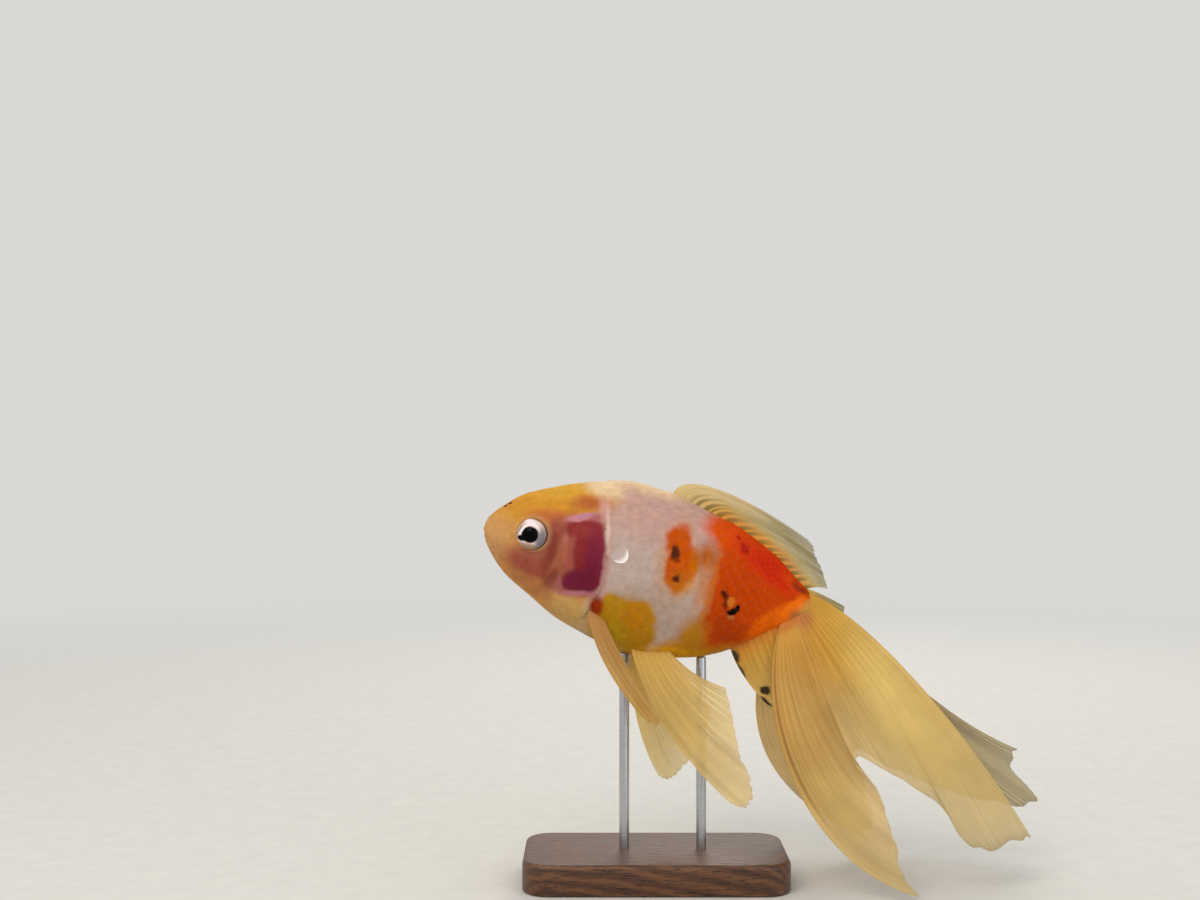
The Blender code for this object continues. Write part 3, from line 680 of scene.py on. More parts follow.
def root_guide():
    """Roots of the scales, as places, turns and sizes, and the number of rows."""
    fine = np.linspace(0.0, 1.0, GUIDE_STEPS)
    line = on_body(fine, np.full(GUIDE_STEPS, 0.25))[:, 0]
    rings = on_body(*np.meshgrid(fine, np.linspace(0, 1, GIRTH_STEPS, endpoint=False), indexing="ij"))
    girth = np.linalg.norm(rings - np.roll(rings, 1, axis=1), axis=-1).sum(1)
    roots = []
    at = np.searchsorted(line, SCALES_FROM)
    row = 0
    while line[at] < SCALES_TO:
        size = girth[at] / SCALES_AROUND
        turns = (np.arange(SCALES_AROUND) + 0.5 * (row % 2)) / SCALES_AROUND
        roots += [(fine[at], turn, size) for turn in turns]
        at = np.searchsorted(line, line[at] + (0.55 * size + 0.12))
        row += 1
    return np.array(roots), row


roots, row_count = root_guide()
root_at = on_body(roots[:, 0], roots[:, 1])
rearward = on_body(roots[:, 0] + NUDGE, roots[:, 1]) - root_at
rearward /= np.linalg.norm(rearward, axis=1)[:, None]
normal = np.cross(rearward, on_body(roots[:, 0], roots[:, 1] + NUDGE) - root_at)
normal /= np.linalg.norm(normal, axis=1)[:, None]
normal *= np.sign((normal[:, 1:] * (root_at[:, 1:] - [0, -1])).sum(1))[:, None]
x, y, z = root_at.T
gill, ahead = line_distance(x, z, GILL_LINE)
on_fin = (np.abs(y) < 1.4) & (z > 0) & (x > 42)
on_breast = np.hypot(x - BREAST_FIN_X, z - BREAST_FIN_Z) < 2.2
kept = (gill * ahead < -0.1) & ~on_fin & ~on_breast
guide = new_piece("scale_roots", in_room(root_at[kept]), [])
keep_values(guide.data, rearward=(rearward @ TILT.T)[kept], out=(normal @ TILT.T)[kept])
unwrap = np.column_stack([0.02 + 0.95 * roots[:, :2], 0 * roots[:, 0]])  # keeps clear of the map's edge
keep_values(guide.data, size=roots[kept, 2] * MM, unwrap=unwrap[kept])
print(int(kept.sum()), "scales in", row_count, "rows")

# %% One scale
LONG, WIDE = 5, 6  # its faces each way
PLATE_DEPTH = 0.45  # its underside lies so far below it, as a share of its lift


def scale_plate():
    """A thin closed plate, one unit long and wide: root at x = 0, round free edge at x = 1."""
    points, shares = [], []
    for i in range(LONG + 1):
        for j in range(WIDE + 1):
            f, g = i / LONG, 2 * j / WIDE - 1
            round_end = math.sqrt(max(0.0, 1 - 0.55 * g * g))
            narrow_root = 0.82 + 0.18 * math.sin(math.pi * min(1, f * 0.75 + 0.2))
            points.append((f * round_end, g * 0.5 * narrow_root, f))
            shares.append(max(f, abs(g) ** 3 * f))
    below = len(points)
    grid = np.arange(below).reshape(LONG + 1, WIDE + 1)
    faces = [(a, a + WIDE + 1, a + WIDE + 2, a + 1) for a in grid[:-1, :-1].ravel()]
    border = [*grid[0], *grid[1:, -1], *grid[-1, -2::-1], *grid[-2:0:-1, 0]]
    points += [(points[b][0], points[b][1], points[b][2] - PLATE_DEPTH) for b in border]
    points.append((0.45, 0.0, -0.4))
    shares += [shares[b] for b in border] + [0.0]
    for k, b in enumerate(border):
        n = (k + 1) % len(border)
        faces += [(b, border[n], below + n, below + k), (below + k, below + n, len(points) - 1)]
    return np.array(points), faces, shares


plate_points, plate_faces, shares = scale_plate()
plate = new_piece("scale_plate", plate_points * (1, 1, 0.01), plate_faces)
face_out(plate.data)
keep_values(plate.data, shape=plate_points, rim=shares)
plate.data.set_sharp_from_angle(angle=CREASE)
print("one scale has", len(plate_faces), "faces")

# %% Tile the scales


def modifier_tree(name, sizes):
    """An empty modifier tree, with an input for each size."""
    tree = bpy.data.node_groups.new(name, "GeometryNodeTree")
    tree.interface.new_socket("Geometry", in_out="INPUT", socket_type="NodeSocketGeometry")
    tree.interface.new_socket("Geometry", in_out="OUTPUT", socket_type="NodeSocketGeometry")
    for size, kind in sizes.items():
        tree.interface.new_socket(size, in_out="INPUT", socket_type="NodeSocket" + kind)
    return tree, add(tree, "NodeGroupInput").outputs


def grow(piece, tree, values):
    """Runs the tree on the piece, its inputs set by their identifiers, and keeps the plain mesh."""
    modifier = piece.modifiers.new(tree.name, "NODES")
    modifier.node_group = tree
    for item in tree.interface.items_tree:
        if item.in_out == "INPUT" and item.name in values:
            modifier[item.identifier] = values[item.name]
    return flatten(piece)


def named(tree, name, kind="FLOAT_VECTOR"):
    """A value kept on the points."""
    return add(tree, "GeometryNodeInputNamedAttribute", {"Name": name}, data_type=kind)


finish = {"Roughness": 0.42, "IOR": 1.45, "Specular_IOR_Level": 0.03}
scale_look, look_tree, shader = new_material("clear_goldfish_scale", **finish)
kinds = {"Length": "Float", "Width": "Float", "Lift": "Float", "Plate": "Object", "Skin": "Object"}
scale_tree, sizes = modifier_tree("tile_scales", kinds)
one_plate = add(scale_tree, "GeometryNodeObjectInfo", {"Object": sizes["Plate"]}).outputs["Geometry"]
skin_mesh = add(scale_tree, "GeometryNodeObjectInfo", {"Object": sizes["Skin"]}).outputs["Geometry"]
axes = {0: named(scale_tree, "out"), 1: named(scale_tree, "rearward")}
turned = add(scale_tree, "FunctionNodeAxesToRotation", axes, primary_axis="Z", secondary_axis="X")
own_size = named(scale_tree, "size", "FLOAT")
long_by = add(scale_tree, "ShaderNodeMath", {0: own_size, 1: sizes["Length"]}, operation="MULTIPLY")
wide_by = add(scale_tree, "ShaderNodeMath", {0: own_size, 1: sizes["Width"]}, operation="MULTIPLY")
stretch = add(scale_tree, "ShaderNodeCombineXYZ", {0: long_by, 1: wide_by, 2: MM})
copies = {"Points": sizes["Geometry"], "Instance": one_plate, "Rotation": turned, "Scale": stretch}
tiled = add(scale_tree, "GeometryNodeInstanceOnPoints", copies)
real = add(scale_tree, "GeometryNodeRealizeInstances", {0: tiled})
shape = named(scale_tree, "shape")
nearest = add(scale_tree, "GeometryNodeProximity", {0: skin_mesh}, target_element="FACES").outputs["Position"]
facing = {"Mesh": skin_mesh, "Value": add(scale_tree, "GeometryNodeInputNormal")}
facing = add(scale_tree, "GeometryNodeSampleNearestSurface", facing, data_type="FLOAT_VECTOR")
parts = add(scale_tree, "ShaderNodeSeparateXYZ", {0: shape}).outputs
raised = add(scale_tree, "ShaderNodeMath", {0: parts["Z"], 1: sizes["Lift"]}, operation="MULTIPLY")
offset = add(scale_tree, "ShaderNodeVectorMath", {0: facing, "Scale": raised}, operation="SCALE")
pressed = add(scale_tree, "ShaderNodeVectorMath", {0: nearest, 1: offset})
placed = add(scale_tree, "GeometryNodeSetPosition", {"Geometry": real, "Position": pressed})
patch = add(scale_tree, "ShaderNodeVectorMath", {0: shape, "Scale": PATCH}, operation="SCALE")
own_patch = add(scale_tree, "ShaderNodeVectorMath", {0: named(scale_tree, "unwrap"), 1: patch})
mapped = {"Geometry": placed, "Name": "OFBake", "Value": own_patch}
mapped = add(scale_tree, "GeometryNodeStoreNamedAttribute", mapped, data_type="FLOAT2", domain="CORNER")
smooth = add(scale_tree, "GeometryNodeSetShadeSmooth", {"Geometry": mapped})
worn = add(scale_tree, "GeometryNodeSetMaterial", {"Geometry": smooth, "Material": scale_look})
add(scale_tree, "NodeGroupOutput", {0: worn})

form = {"Length": 1.28, "Width": 1.12, "Lift": 0.06 * MM}
scales = grow(guide, scale_tree, {**form, "Plate": plate, "Skin": skin})
scales.name = "scale_coat"

# %% Scale material
place = fish_place(look_tree)
colour = add(look_tree, "ShaderNodeGroup", node_tree=markings)
rim = add(look_tree, "ShaderNodeAttribute", attribute_name="rim").outputs["Fac"]
# painted highlight: the free edge of each scale is made a little paler
rim_highlight = {"Value": rim, "From Min": 0.6, "From Max": 1.0, "To Max": 0.015}
rim_highlight = add(look_tree, "ShaderNodeMapRange", rim_highlight)
lit = add(look_tree, "ShaderNodeMix", {0: rim_highlight, 6: colour, 7: linear("F0E2D4")}, data_type="RGBA")
growth = add(look_tree, "ShaderNodeTexNoise", {"Vector": place, "Scale": 3.2, "Detail": 3.0})
bump = add(look_tree, "ShaderNodeBump", {"Strength": 0.25, "Distance": 0.00004, "Height": growth})
gloss = add(look_tree, "ShaderNodeMapRange", {"Value": growth, "To Min": 0.36, "To Max": 0.54})
feed(shader, {"Base Color": lit, "Normal": bump, "Roughness": gloss})
dress(scales, "calico_skin")

# %% [markdown]
# ## One mirror scale
#
# Most of this fish's scales have lost their silver, but one behind the gill still has it and flashes
# along its rear edge. It is the same plate, made larger and lifted more, with a pearly finish; its
# flash is painted, the colour running to near white at its rear edge.

# %% Bright scale
bright_look, tree, shader = new_material("silvered_scale", Roughness=0.16, IOR=1.56, Sheen_Weight=0.3)
rim = add(tree, "ShaderNodeAttribute", attribute_name="rim").outputs["Fac"]
# painted reflection: the colour runs from dull at the root to near white at the free edge
painted_flash = [(0.0, "B3A098"), (0.62, "BAA8A0"), (0.86, "EAE2DC"), (1.0, "FFFDFA")]
tone = add(tree, "ShaderNodeValToRGB", {0: rim}, painted_flash)
speckle = add(tree, "ShaderNodeTexNoise", {"Vector": fish_place(tree), "Scale": 4.0})
bump = add(tree, "ShaderNodeBump", {"Strength": 0.2, "Distance": 0.00004, "Height": speckle})
feed(shader, {"Base Color": tone, "Normal": bump})
bright = new_piece("bright_scale_root", in_room([(33.9, -12.8, 4.2)]), [])
keep_values(bright.data, rearward=TILT @ np.array((0.82, -0.02, -0.57)), size=MM)
keep_values(bright.data, out=TILT @ np.array((-0.05, -0.99, 0.12)), unwrap=(0.5, 0.5, 0.0))
feed(worn, {"Material": bright_look})
form = {"Length": 4.5, "Width": 4.8, "Lift": 0.22 * MM}
grow(bright, scale_tree, {**form, "Plate": plate, "Skin": skin})
bright.name = "bright_scale"
dress(bright, "calico_skin")
bpy.data.objects.remove(plate)

# %% [markdown]
# ## Eyes
#
# A goldfish's eye is a wet ball with a pale, metallic iris and a wide black pupil that bulges where
# the lens pushes through it. It is turned like a bowl on a lathe: one profile gives the lens, the
# groove round it, the iris and the ring at its edge. A clear coat gives the wet gloss.

# %% Turn the eyes
EYE_RADIUS, EYE_DEPTH = 4.3, 3.7
EYE_TURN = math.radians(8)  # the eyes look a little ahead
EYE_SIDES = 72
FRONT_RINGS, BACK_RINGS = 64, 20
PUPIL = 2.05  # distance from the axis to the edge of the lens


def eye_profile():
    """Distances from the axis and heights along it, from the front of the eye to its back."""
    front = np.linspace(0, EYE_RADIUS - 0.01, FRONT_RINGS)
    out = np.concatenate([front, [EYE_RADIUS], np.linspace(EYE_RADIUS - 0.01, 0, BACK_RINGS)])
    rise = EYE_DEPTH * np.sqrt(np.maximum(0, 1 - (out / EYE_RADIUS) ** 2))
    rise[FRONT_RINGS + 1 :] *= -1
    shape = 0.16 * ease(out, PUPIL, 0.9) - 0.10 * hump(out - PUPIL - 0.06, 0.10)
    shape += -0.10 * hump(out - 2.7, 0.5) + 0.07 * hump(out - 3.25, 0.14)
    return out, rise + shape * (np.arange(len(out)) < FRONT_RINGS - 4)


def eyeball(name, side, material):
    """The profile turned round its axis, and the ball then turned a little to the front."""
    out, rise = eye_profile()
    turns = np.linspace(0, 2 * math.pi, EYE_SIDES, endpoint=False)
    rings = []
    for o, h in zip(out[1:-1], rise[1:-1]):
        rings.append(np.column_stack([o * np.cos(turns), np.full(EYE_SIDES, h), o * np.sin(turns)]))
    x, y, z = np.concatenate([[(0, rise[0], 0)], *rings, [(0, rise[-1], 0)]]).T
    y = y * side
    c, s = np.cos(EYE_TURN), side * np.sin(EYE_TURN)
    points = np.column_stack([c * x - s * y, s * x + c * y, z]) + EYE_AT * (1, side, 1)
    faces = []
    last = len(points) - 1
    last_ring = last - EYE_SIDES
    for k in range(EYE_SIDES):
        n = (k + 1) % EYE_SIDES
        faces.append((0, 1 + k, 1 + n))
        for a in range(1, last_ring, EYE_SIDES):
            faces.append((a + k, a + EYE_SIDES + k, a + EYE_SIDES + n, a + n))
        faces.append((last_ring + k, last, last_ring + n))
    piece = new_piece(name, in_room(points), faces, material)
    face_out(piece.data)
    return piece


def eye_material(name, side):
    """Iris and pupil, from the distance to the eye's own axis, with painted shade and painted highlights on
    the iris.
    """
    material, tree, shader = new_material(name, Roughness=0.2, IOR=1.38, Specular_IOR_Level=0.05)
    feed(shader, {"Coat Weight": 0.05, "Coat Roughness": 0.03})
    settings = {"Vector": fish_place(tree), "Location": tuple(EYE_AT * (1, side, 1))}
    settings["Rotation"] = (0, 0, side * EYE_TURN)
    own = add(tree, "ShaderNodeMapping", settings, vector_type="TEXTURE")
    flat = add(tree, "ShaderNodeVectorMath", {0: own, 1: (1, 0, 1)}, operation="MULTIPLY")
    rough = add(tree, "ShaderNodeTexNoise", {"Vector": flat, "Scale": 1.3, "Detail": 3.0})
    wobble = add(tree, "ShaderNodeMapRange", {"Value": rough, "To Min": -0.12, "To Max": 0.12})
    reach = add(tree, "ShaderNodeVectorMath", {0: flat}, operation="LENGTH")
    reach = add(tree, "ShaderNodeMath", {0: reach, 1: wobble}, operation="ADD")
    share = add(tree, "ShaderNodeMath", {0: reach, 1: EYE_RADIUS}, operation="DIVIDE")
    rings = [
        (0.0, "040406"),
        (0.455, "060507"),
        (0.48, "8A7672"),
        (0.51, "E8D2CA"),
        (0.68, "F0DDD6"),
        (0.725, "8F8184"),
        (0.755, "D8C3B8"),
        (0.85, "E4CEC2"),
        (0.90, "9E755C"),
    ]
    iris = add(tree, "ShaderNodeValToRGB", {0: share}, rings)
    pupil_and_painted_light = [
        ("9E7A60", (0.4, -3.2), (3.0, 0.9), 0, 0.6, 0.8),  # the lower half lies in shade
        # painted shade on the right of the iris
        ("74727C", (2.8, -0.6), (1.2, 2.8), 0, 0.6, 0.9),
        # painted light on the top of the iris
        ("F0E4EA", (-1.0, 3.1), (2.4, 0.8), 14, 0.5, 0.8),
        # painted shade at the front edge, where the socket shades it
        ("9A7668", (-3.1, 0.4), (0.5, 1.6), 10, 0.6, 0.8),
        ("020203", (-0.15, -0.1), (2.15, 1.95), 0, 0.06, 1),  # the pupil is a little wider than high
        ("020203", (-1.8, -1.35), (1.45, 0.74), -6, 0.15, 1),
        # painted highlight: a pale crescent beside the pupil
        ("EEE8F0", (-2.5, 0.5), (1.35, 0.34), -66, 0.5, 0.95),
    ]
    shaded = painted(tree, own, iris, pupil_and_painted_light)
    fibres = add(tree, "ShaderNodeTexNoise", {"Vector": flat, "Scale": 5.0, "Detail": 4.0})
    bump = add(tree, "ShaderNodeBump", {"Strength": 0.15, "Distance": 0.00005, "Height": fibres})
    feed(shader, {"Base Color": shaded, "Normal": bump})
    return material


for side, word in ((-1, "left"), (1, "right")):
    ball = eyeball(f"eyeball_{word}", side, eye_material(f"wet_iris_{word}", side))
    dress(ball, "wet_eye", f"eye_{word}")

# %% [markdown]
# ## Fins
#
# A fin is a fan: bony rays leave the root side by side, fork once and again on the way out, and
# carry a clear membrane between them. Four rails give the fan's form: the root, two lines that bend
# the rays, and the free edge. The membrane is a thin solid over that surface, with soft folds and a
# slightly frayed edge, and the rays are tapering tubes that a node tree sweeps along their paths.

# %% Rails of the fins
TAIL_LEFT = (
    [(84.9, -0.9, 5.2), (84.4, -1.3, 2.7), (83.4, -1.9, 0.0), (82.2, -2.4, -2.0), (80.6, -2.6, -4.0)],
    [(99.9, -2.5, 5.5), (98.6, -5.0, -3.4), (92.3, -8.0, -11.3), (88.3, -9.5, -21.4), (78.2, -9.0, -30.0)],
    [
        (134.5, -6.0, -19.1), (115.0, -11.0, -19.2), (98.8, -15.0, -21.6), (102.3, -18.0, -36.4),
        (101.0, -19.0, -60.7),
    ],
    [
        (157.1, -9.0, -41.2), (151.4, -11.0, -41.5), (144.2, -13.0, -45.8), (137.0, -14.0, -44.1),
        (128.7, -16.0, -36.2), (117.9, -18.0, -33.0), (105.5, -20.0, -29.8), (109.0, -21.0, -34.5),
        (113.4, -21.0, -38.4), (116.7, -21.0, -43.1), (119.9, -22.0, -48.2), (122.7, -23.0, -53.8),
        (129.2, -24.0, -58.6),
    ],
)
TAIL_RIGHT = (
    [(84.9, 0.9, 5.2), (84.4, 1.3, 2.7), (83.4, 1.9, 0.0), (82.2, 2.4, -2.0), (80.6, 2.6, -4.0)],
    [(102.0, 2.5, 0.7), (99.7, 5.0, -5.7), (95.2, 8.0, -13.6), (88.7, 9.5, -24.3), (76.7, 9.0, -28.0)],
    [
        (127.1, 7.0, -18.6), (120.0, 11.0, -22.2), (104.5, 15.0, -26.0), (101.9, 18.0, -41.8),
        (84.9, 19.0, -51.1),
    ],
    [
        (154.9, 12.0, -21.5), (153.2, 13.0, -26.5), (163.1, 15.0, -34.5), (153.1, 16.0, -37.7),
        (139.7, 18.0, -38.1), (125.6, 20.0, -36.4), (113.3, 22.0, -34.5), (115.3, 22.0, -39.0),
        (118.0, 22.0, -42.6), (120.3, 23.0, -46.4), (122.2, 23.0, -50.2), (123.7, 24.0, -54.3),
        (124.1, 24.0, -57.6),
    ],
)
DORSAL = (
    [(45.4, 0.0, 19.0), (57.5, 0.0, 16.6), (71.5, 0.0, 12.4), (84.8, 0.0, 5.9)],
    [(43.5, 0.0, 28.5), (57.6, 0.0, 22.6), (74.0, 0.0, 15.2), (87.0, 0.0, 7.4)],
    [(61.5, 0.0, 26.6), (71.2, 0.0, 20.8), (80.6, 0.0, 14.2), (88.8, 0.0, 7.6)],
    [(83.9, 0.0, 18.0), (85.5, 0.0, 14.8), (87.4, 0.0, 12.6), (88.9, 0.0, 10.3), (90.5, 0.0, 7.6)],
)
TAIL_CREST = (
    [(83.0, 0.0, 6.3), (85.0, 0.0, 4.6)],
    [(86.6, 0.0, 6.5), (87.8, 0.0, 4.2)],
    [(91.0, 0.0, 5.6), (92.3, 0.0, 3.5)],
    [(96.0, 0.0, 4.3), (96.2, 0.0, 2.6)],
)
ANAL_LEFT = (
    [(69.4, -1.6, -12.6), (74.4, -2.2, -8.9), (80.4, -2.2, -4.4)],
    [(73.1, -2.6, -19.4), (78.0, -3.0, -15.0), (83.0, -3.0, -9.4)],
    [(78.7, -4.2, -22.9), (82.6, -4.3, -20.0), (85.6, -4.0, -14.8)],
    [(85.7, -5.6, -26.9), (87.5, -5.6, -25.9), (88.8, -5.5, -23.0), (88.6, -5.0, -19.0)],
)
PELVIC_LEFT = (
    [(44.0, -6.2, -18.2), (48.4, -5.9, -18.0), (53.1, -5.4, -17.0)],
    [(49.4, -9.0, -30.6), (55.1, -9.5, -28.2), (59.5, -8.0, -21.9)],
    [(64.9, -13.0, -44.0), (68.3, -14.0, -36.4), (66.0, -12.0, -22.6)],
    [
        (79.8, -17.0, -50.3), (83.1, -17.0, -49.0), (82.5, -17.0, -44.2), (78.0, -17.0, -37.7),
        (74.3, -16.0, -30.8), (69.9, -14.0, -22.4),
    ],
)
PELVIC_RIGHT = (
    [(44.0, 6.2, -18.2), (48.4, 5.9, -18.0), (53.1, 5.4, -17.0)],
    [(48.1, 9.0, -32.4), (53.4, 9.0, -29.6), (57.5, 8.0, -24.2)],
    [(53.3, 12.0, -45.3), (61.3, 13.0, -41.9), (66.3, 11.0, -27.8)],
    [(62.7, 15.0, -54.2), (66.0, 15.0, -52.8), (69.0, 15.0, -47.2), (71.3, 15.0, -40.2), (71.2, 14.0, -33.1)],
)
PECTORAL = (
    [(30.9, -8.8, -10.2), (32.8, -9.0, -11.3), (34.8, -9.0, -12.3)],
    [(32.4, -15.0, -19.9), (35.9, -15.0, -19.5), (39.6, -13.6, -19.5)],
    [(44.0, -24.0, -28.9), (46.5, -20.5, -28.3), (49.7, -16.5, -28.3)],
    [(51.5, -28.0, -33.3), (54.4, -25.0, -34.6), (55.7, -20.5, -34.1), (54.7, -18.0, -32.8)],
)


def mirrored(rails):
    """The same rails on the fish's other side."""
    return [[(x, -y, z) for x, y, z in points] for points in rails]


FINS = {  # rails, rays, folds, fold height, fray, sink, ray radius at the root
    "dorsal_fin": (DORSAL, 17, 3.0, 0.20, 0.006, 0.03, 0.18),
    "tail_crest": (TAIL_CREST, 4, 1.0, 0.05, 0.006, 0.03, 0.13),
    "tail_fin_left": (TAIL_LEFT, 22, 3.5, 0.60, 0.006, 0.03, 0.13),
    "tail_fin_right": (TAIL_RIGHT, 22, 4.5, 0.60, 0.010, 0.03, 0.13),
    "anal_fin_left": (ANAL_LEFT, 8, 1.5, 0.25, 0.008, 0.05, 0.14),
    "anal_fin_right": (mirrored(ANAL_LEFT), 8, 1.5, 0.25, 0.008, 0.05, 0.14),
    "pelvic_fin_left": (PELVIC_LEFT, 9, 2.0, 0.45, 0.008, 0.04, 0.17),
    "pelvic_fin_right": (PELVIC_RIGHT, 9, 2.0, 0.45, 0.008, 0.04, 0.17),
    "pectoral_fin_left": (PECTORAL, 9, 1.5, 0.20, 0.008, 0.06, 0.14),
    "pectoral_fin_right": (mirrored(PECTORAL), 9, 1.5, 0.20, 0.008, 0.06, 0.14),
}
print(len(FINS), "fins")

# %% The surface of a fin
COLUMNS, ROWS = 16, 44  # faces across each ray, and points from the root to the edge
ROOT_THICKNESS = 0.26 * MM
EDGE_SHARE = 0.28  # of that thickness is left at the free edge


def plain_fan(rails, across, out):
    """Points of the smooth fan, at places from 0 to 1 across it and out along its rays."""
    root, near, far, edge = (along_line(rail, across * (len(rail) - 1)) for rail in rails)
    f = out[..., None]
    g = 1 - f
    return g**3 * root + 3 * g * g * f * near + 3 * g * f * f * far + f**3 * edge


def uneven(across):
    """Places across a fan, shifted so that its rays aren't evenly spaced; the ends stay."""
    shift = 0.016 * np.sin(2 * math.pi * 2 * across) + 0.009 * np.sin(2 * math.pi * 5 * across)
    return across + shift + 0.004 * np.sin(2 * math.pi * 9 * across)


def fin_points(fin, across, out):
    """Points of a fin at places across it and out along its rays, with its folds and frayed edge."""
    rails, rays, folds, height, fray, _, _ = fin
    tips = 0.5 - 0.5 * np.cos(2 * math.pi * across * rays * 4)
    across = uneven(across)
    wander = np.sin(across * 23.0 + 1.3) * np.sin(across * 57.0 + 0.4)
    reach = 1 - 0.3 * fray * (1 - tips) ** 2 - 3.0 * fray * (0.5 + 0.5 * wander) ** 2
    reach -= 0.012 * np.exp(-np.minimum(across, 1 - across) / 0.02)
    f = out * np.where(out > 0, 1 - (1 - reach) * np.clip(out, 0, 1) ** 3, 1)
    step = 0.002
    here = plain_fan(rails, across, f)
    inward = np.where(across > 0.5, -step, step)
    aside = (plain_fan(rails, across + inward, f) - here) * np.sign(inward)[..., None]
    outwards = plain_fan(rails, across, f + step) - here
    normal = np.cross(aside, outwards)
    normal /= np.maximum(np.linalg.norm(normal, axis=-1, keepdims=True), 1e-9)
    wave = np.sin(2 * math.pi * (across * folds + 0.35 * f) + 0.7)
    wave += 0.45 * np.sin(2 * math.pi * (across * folds * 2.3 - 0.5 * f) + 2.1)
    rise = height * ease(f, 0.10, 0.9) * wave
    return here + normal * rise[..., None]


def membrane(name, fin, material):
    """A thin closed solid over the fan, thicker at its root."""
    rays, sink = fin[1], fin[5]
    columns = rays * COLUMNS + 1
    across, out = np.meshgrid(np.linspace(0, 1, columns), np.linspace(-sink, 1, ROWS), indexing="ij")
    points = fin_points(fin, across, out).reshape(-1, 3)
    grid = np.arange(columns * ROWS).reshape(columns, ROWS)
    quads = np.stack([grid[:-1, :-1], grid[:-1, 1:], grid[1:, 1:], grid[1:, :-1]], -1).reshape(-1, 4)
    piece = new_piece(name, in_room(points), quads.tolist(), material)
    keep_values(piece.data, across=across, along=np.clip(out, 0, 1))
    weights = piece.vertex_groups.new(name="root")
    for level in range(11):
        chosen = np.nonzero(np.round(np.clip(out, 0, 1).ravel() * 10) == level)[0]
        weights.add(chosen.tolist(), (1 - level / 10) ** 2, "REPLACE")
    thicken = piece.modifiers.new("thickness", "SOLIDIFY")
    thicken.thickness = ROOT_THICKNESS
    thicken.offset = 0
    thicken.vertex_group = "root"
    thicken.thickness_vertex_group = EDGE_SHARE
    return flatten(piece)


# %% The rays of a fin
FORKS = (0.0, 0.36, 0.68, 1.0)  # where each third of a ray starts and ends, along the fin
RAY_POINTS = 15
OUTER_RAYS = 1.25  # the first and last ray are so much stouter

kinds = {"Thickness": "Float", "Sides": "Int", "Finish": "Material"}
ray_tree, sizes = modifier_tree("sweep_fin_rays", kinds)
paths = add(ray_tree, "GeometryNodeMeshToCurve", {0: sizes["Geometry"]})
radius = {0: named(ray_tree, "thin", "FLOAT"), 1: sizes["Thickness"]}
radius = add(ray_tree, "ShaderNodeMath", radius, operation="MULTIPLY")
profile = add(ray_tree, "GeometryNodeCurvePrimitiveCircle", {"Resolution": sizes["Sides"], "Radius": 1.0})
swept = {"Curve": paths, "Profile Curve": profile, "Scale": radius, "Fill Caps": True}
swept = add(ray_tree, "GeometryNodeCurveToMesh", swept)
real = add(ray_tree, "GeometryNodeRealizeInstances", {0: swept})
smooth = add(ray_tree, "GeometryNodeSetShadeSmooth", {"Geometry": real})
worn = add(ray_tree, "GeometryNodeSetMaterial", {"Geometry": smooth, "Material": sizes["Finish"]})
add(ray_tree, "NodeGroupOutput", {0: worn})


def ray_paths(fin):
    """Paths of the rays: each forks in two at a third of its length, and each half again."""
    rays, sink = fin[1], fin[5]
    lines = []
    for ray in range(rays):
        middle = (ray + 0.5) / rays
        for stage, count in enumerate((1, 2, 4)):
            start, stop = FORKS[stage], FORKS[stage + 1]
            for branch in range(count):
                aim = middle + ((branch + 0.5) / count - 0.5) / rays
                parent = middle + ((branch // 2 + 0.5) / max(1, count // 2) - 0.5) / rays
                f = np.linspace(0, 1, RAY_POINTS)
                across = parent + (aim - parent) * ease(f, 0.0, 0.45)
                out = start + (stop - start) * f
                if stage == 0:
                    out = out - sink * (1 - f) ** 3
                lines.append((across, out, ray in (0, rays - 1)))
    return lines


def fin_rays(name, fin, material):
    """The rays as tubes, which taper to the fin's edge."""
    points, edges, thin, across_all, along_all = [], [], [], [], []
    for across, out, outer in ray_paths(fin):
        start = len(thin)
        points.append(fin_points(fin, across, out))
        taper = 1.0 - 0.82 * np.clip(out, 0, 1) ** 0.6
        thin.extend(taper * (OUTER_RAYS if outer else 1.0))
        across_all.extend(across)
        along_all.extend(np.clip(out, 0, 1))
        edges += [(i, i + 1) for i in range(start, start + len(out) - 1)]
    piece = new_piece(name, in_room(np.concatenate(points)), [], None, edges)
    keep_values(piece.data, thin=thin, across=across_all, along=along_all)
    return grow(piece, ray_tree, {"Thickness": fin[6] * MM, "Sides": 5, "Finish": material})


# %% [markdown]
# ## Fin material
#
# Fin membrane is clear skin a tenth of a millimetre thick, tinted cream or yellow and milky where it
# folds. It is densest at the root and lets more light through at its edge and between the rays.
# The opacity therefore follows the rays: the two numbers kept on each point say how far across and
# how far along the fan it is, and waves on them give the streaks, doubling where the rays fork.

# %% Fin materials


def streaks(tree, rays):
    """A value from 0, between the rays, to 1, on them."""
    across = add(tree, "ShaderNodeAttribute", attribute_name="across").outputs["Fac"]
    along = add(tree, "ShaderNodeAttribute", attribute_name="along").outputs["Fac"]
    wave = None
    for count, fork in ((rays, 0.0), (rays * 2, FORKS[1]), (rays * 4, FORKS[2])):
        angle = add(tree, "ShaderNodeMath", {0: across, 1: 2 * math.pi * count}, operation="MULTIPLY")
        swing = add(tree, "ShaderNodeMath", {0: angle}, operation="COSINE")
        level = add(tree, "ShaderNodeMapRange", {"Value": swing, "From Min": 1.0, "From Max": -1.0})
        if wave is None:
            wave = level
            continue
        share = add(tree, "ShaderNodeMapRange", {"Value": along, "From Min": fork, "From Max": fork + 0.14})
        wave = add(tree, "ShaderNodeMix", {0: share, 2: wave, 3: level})
    return wave, across, along


RAY_TINT = 0.08  # the rays are so much paler than the membrane

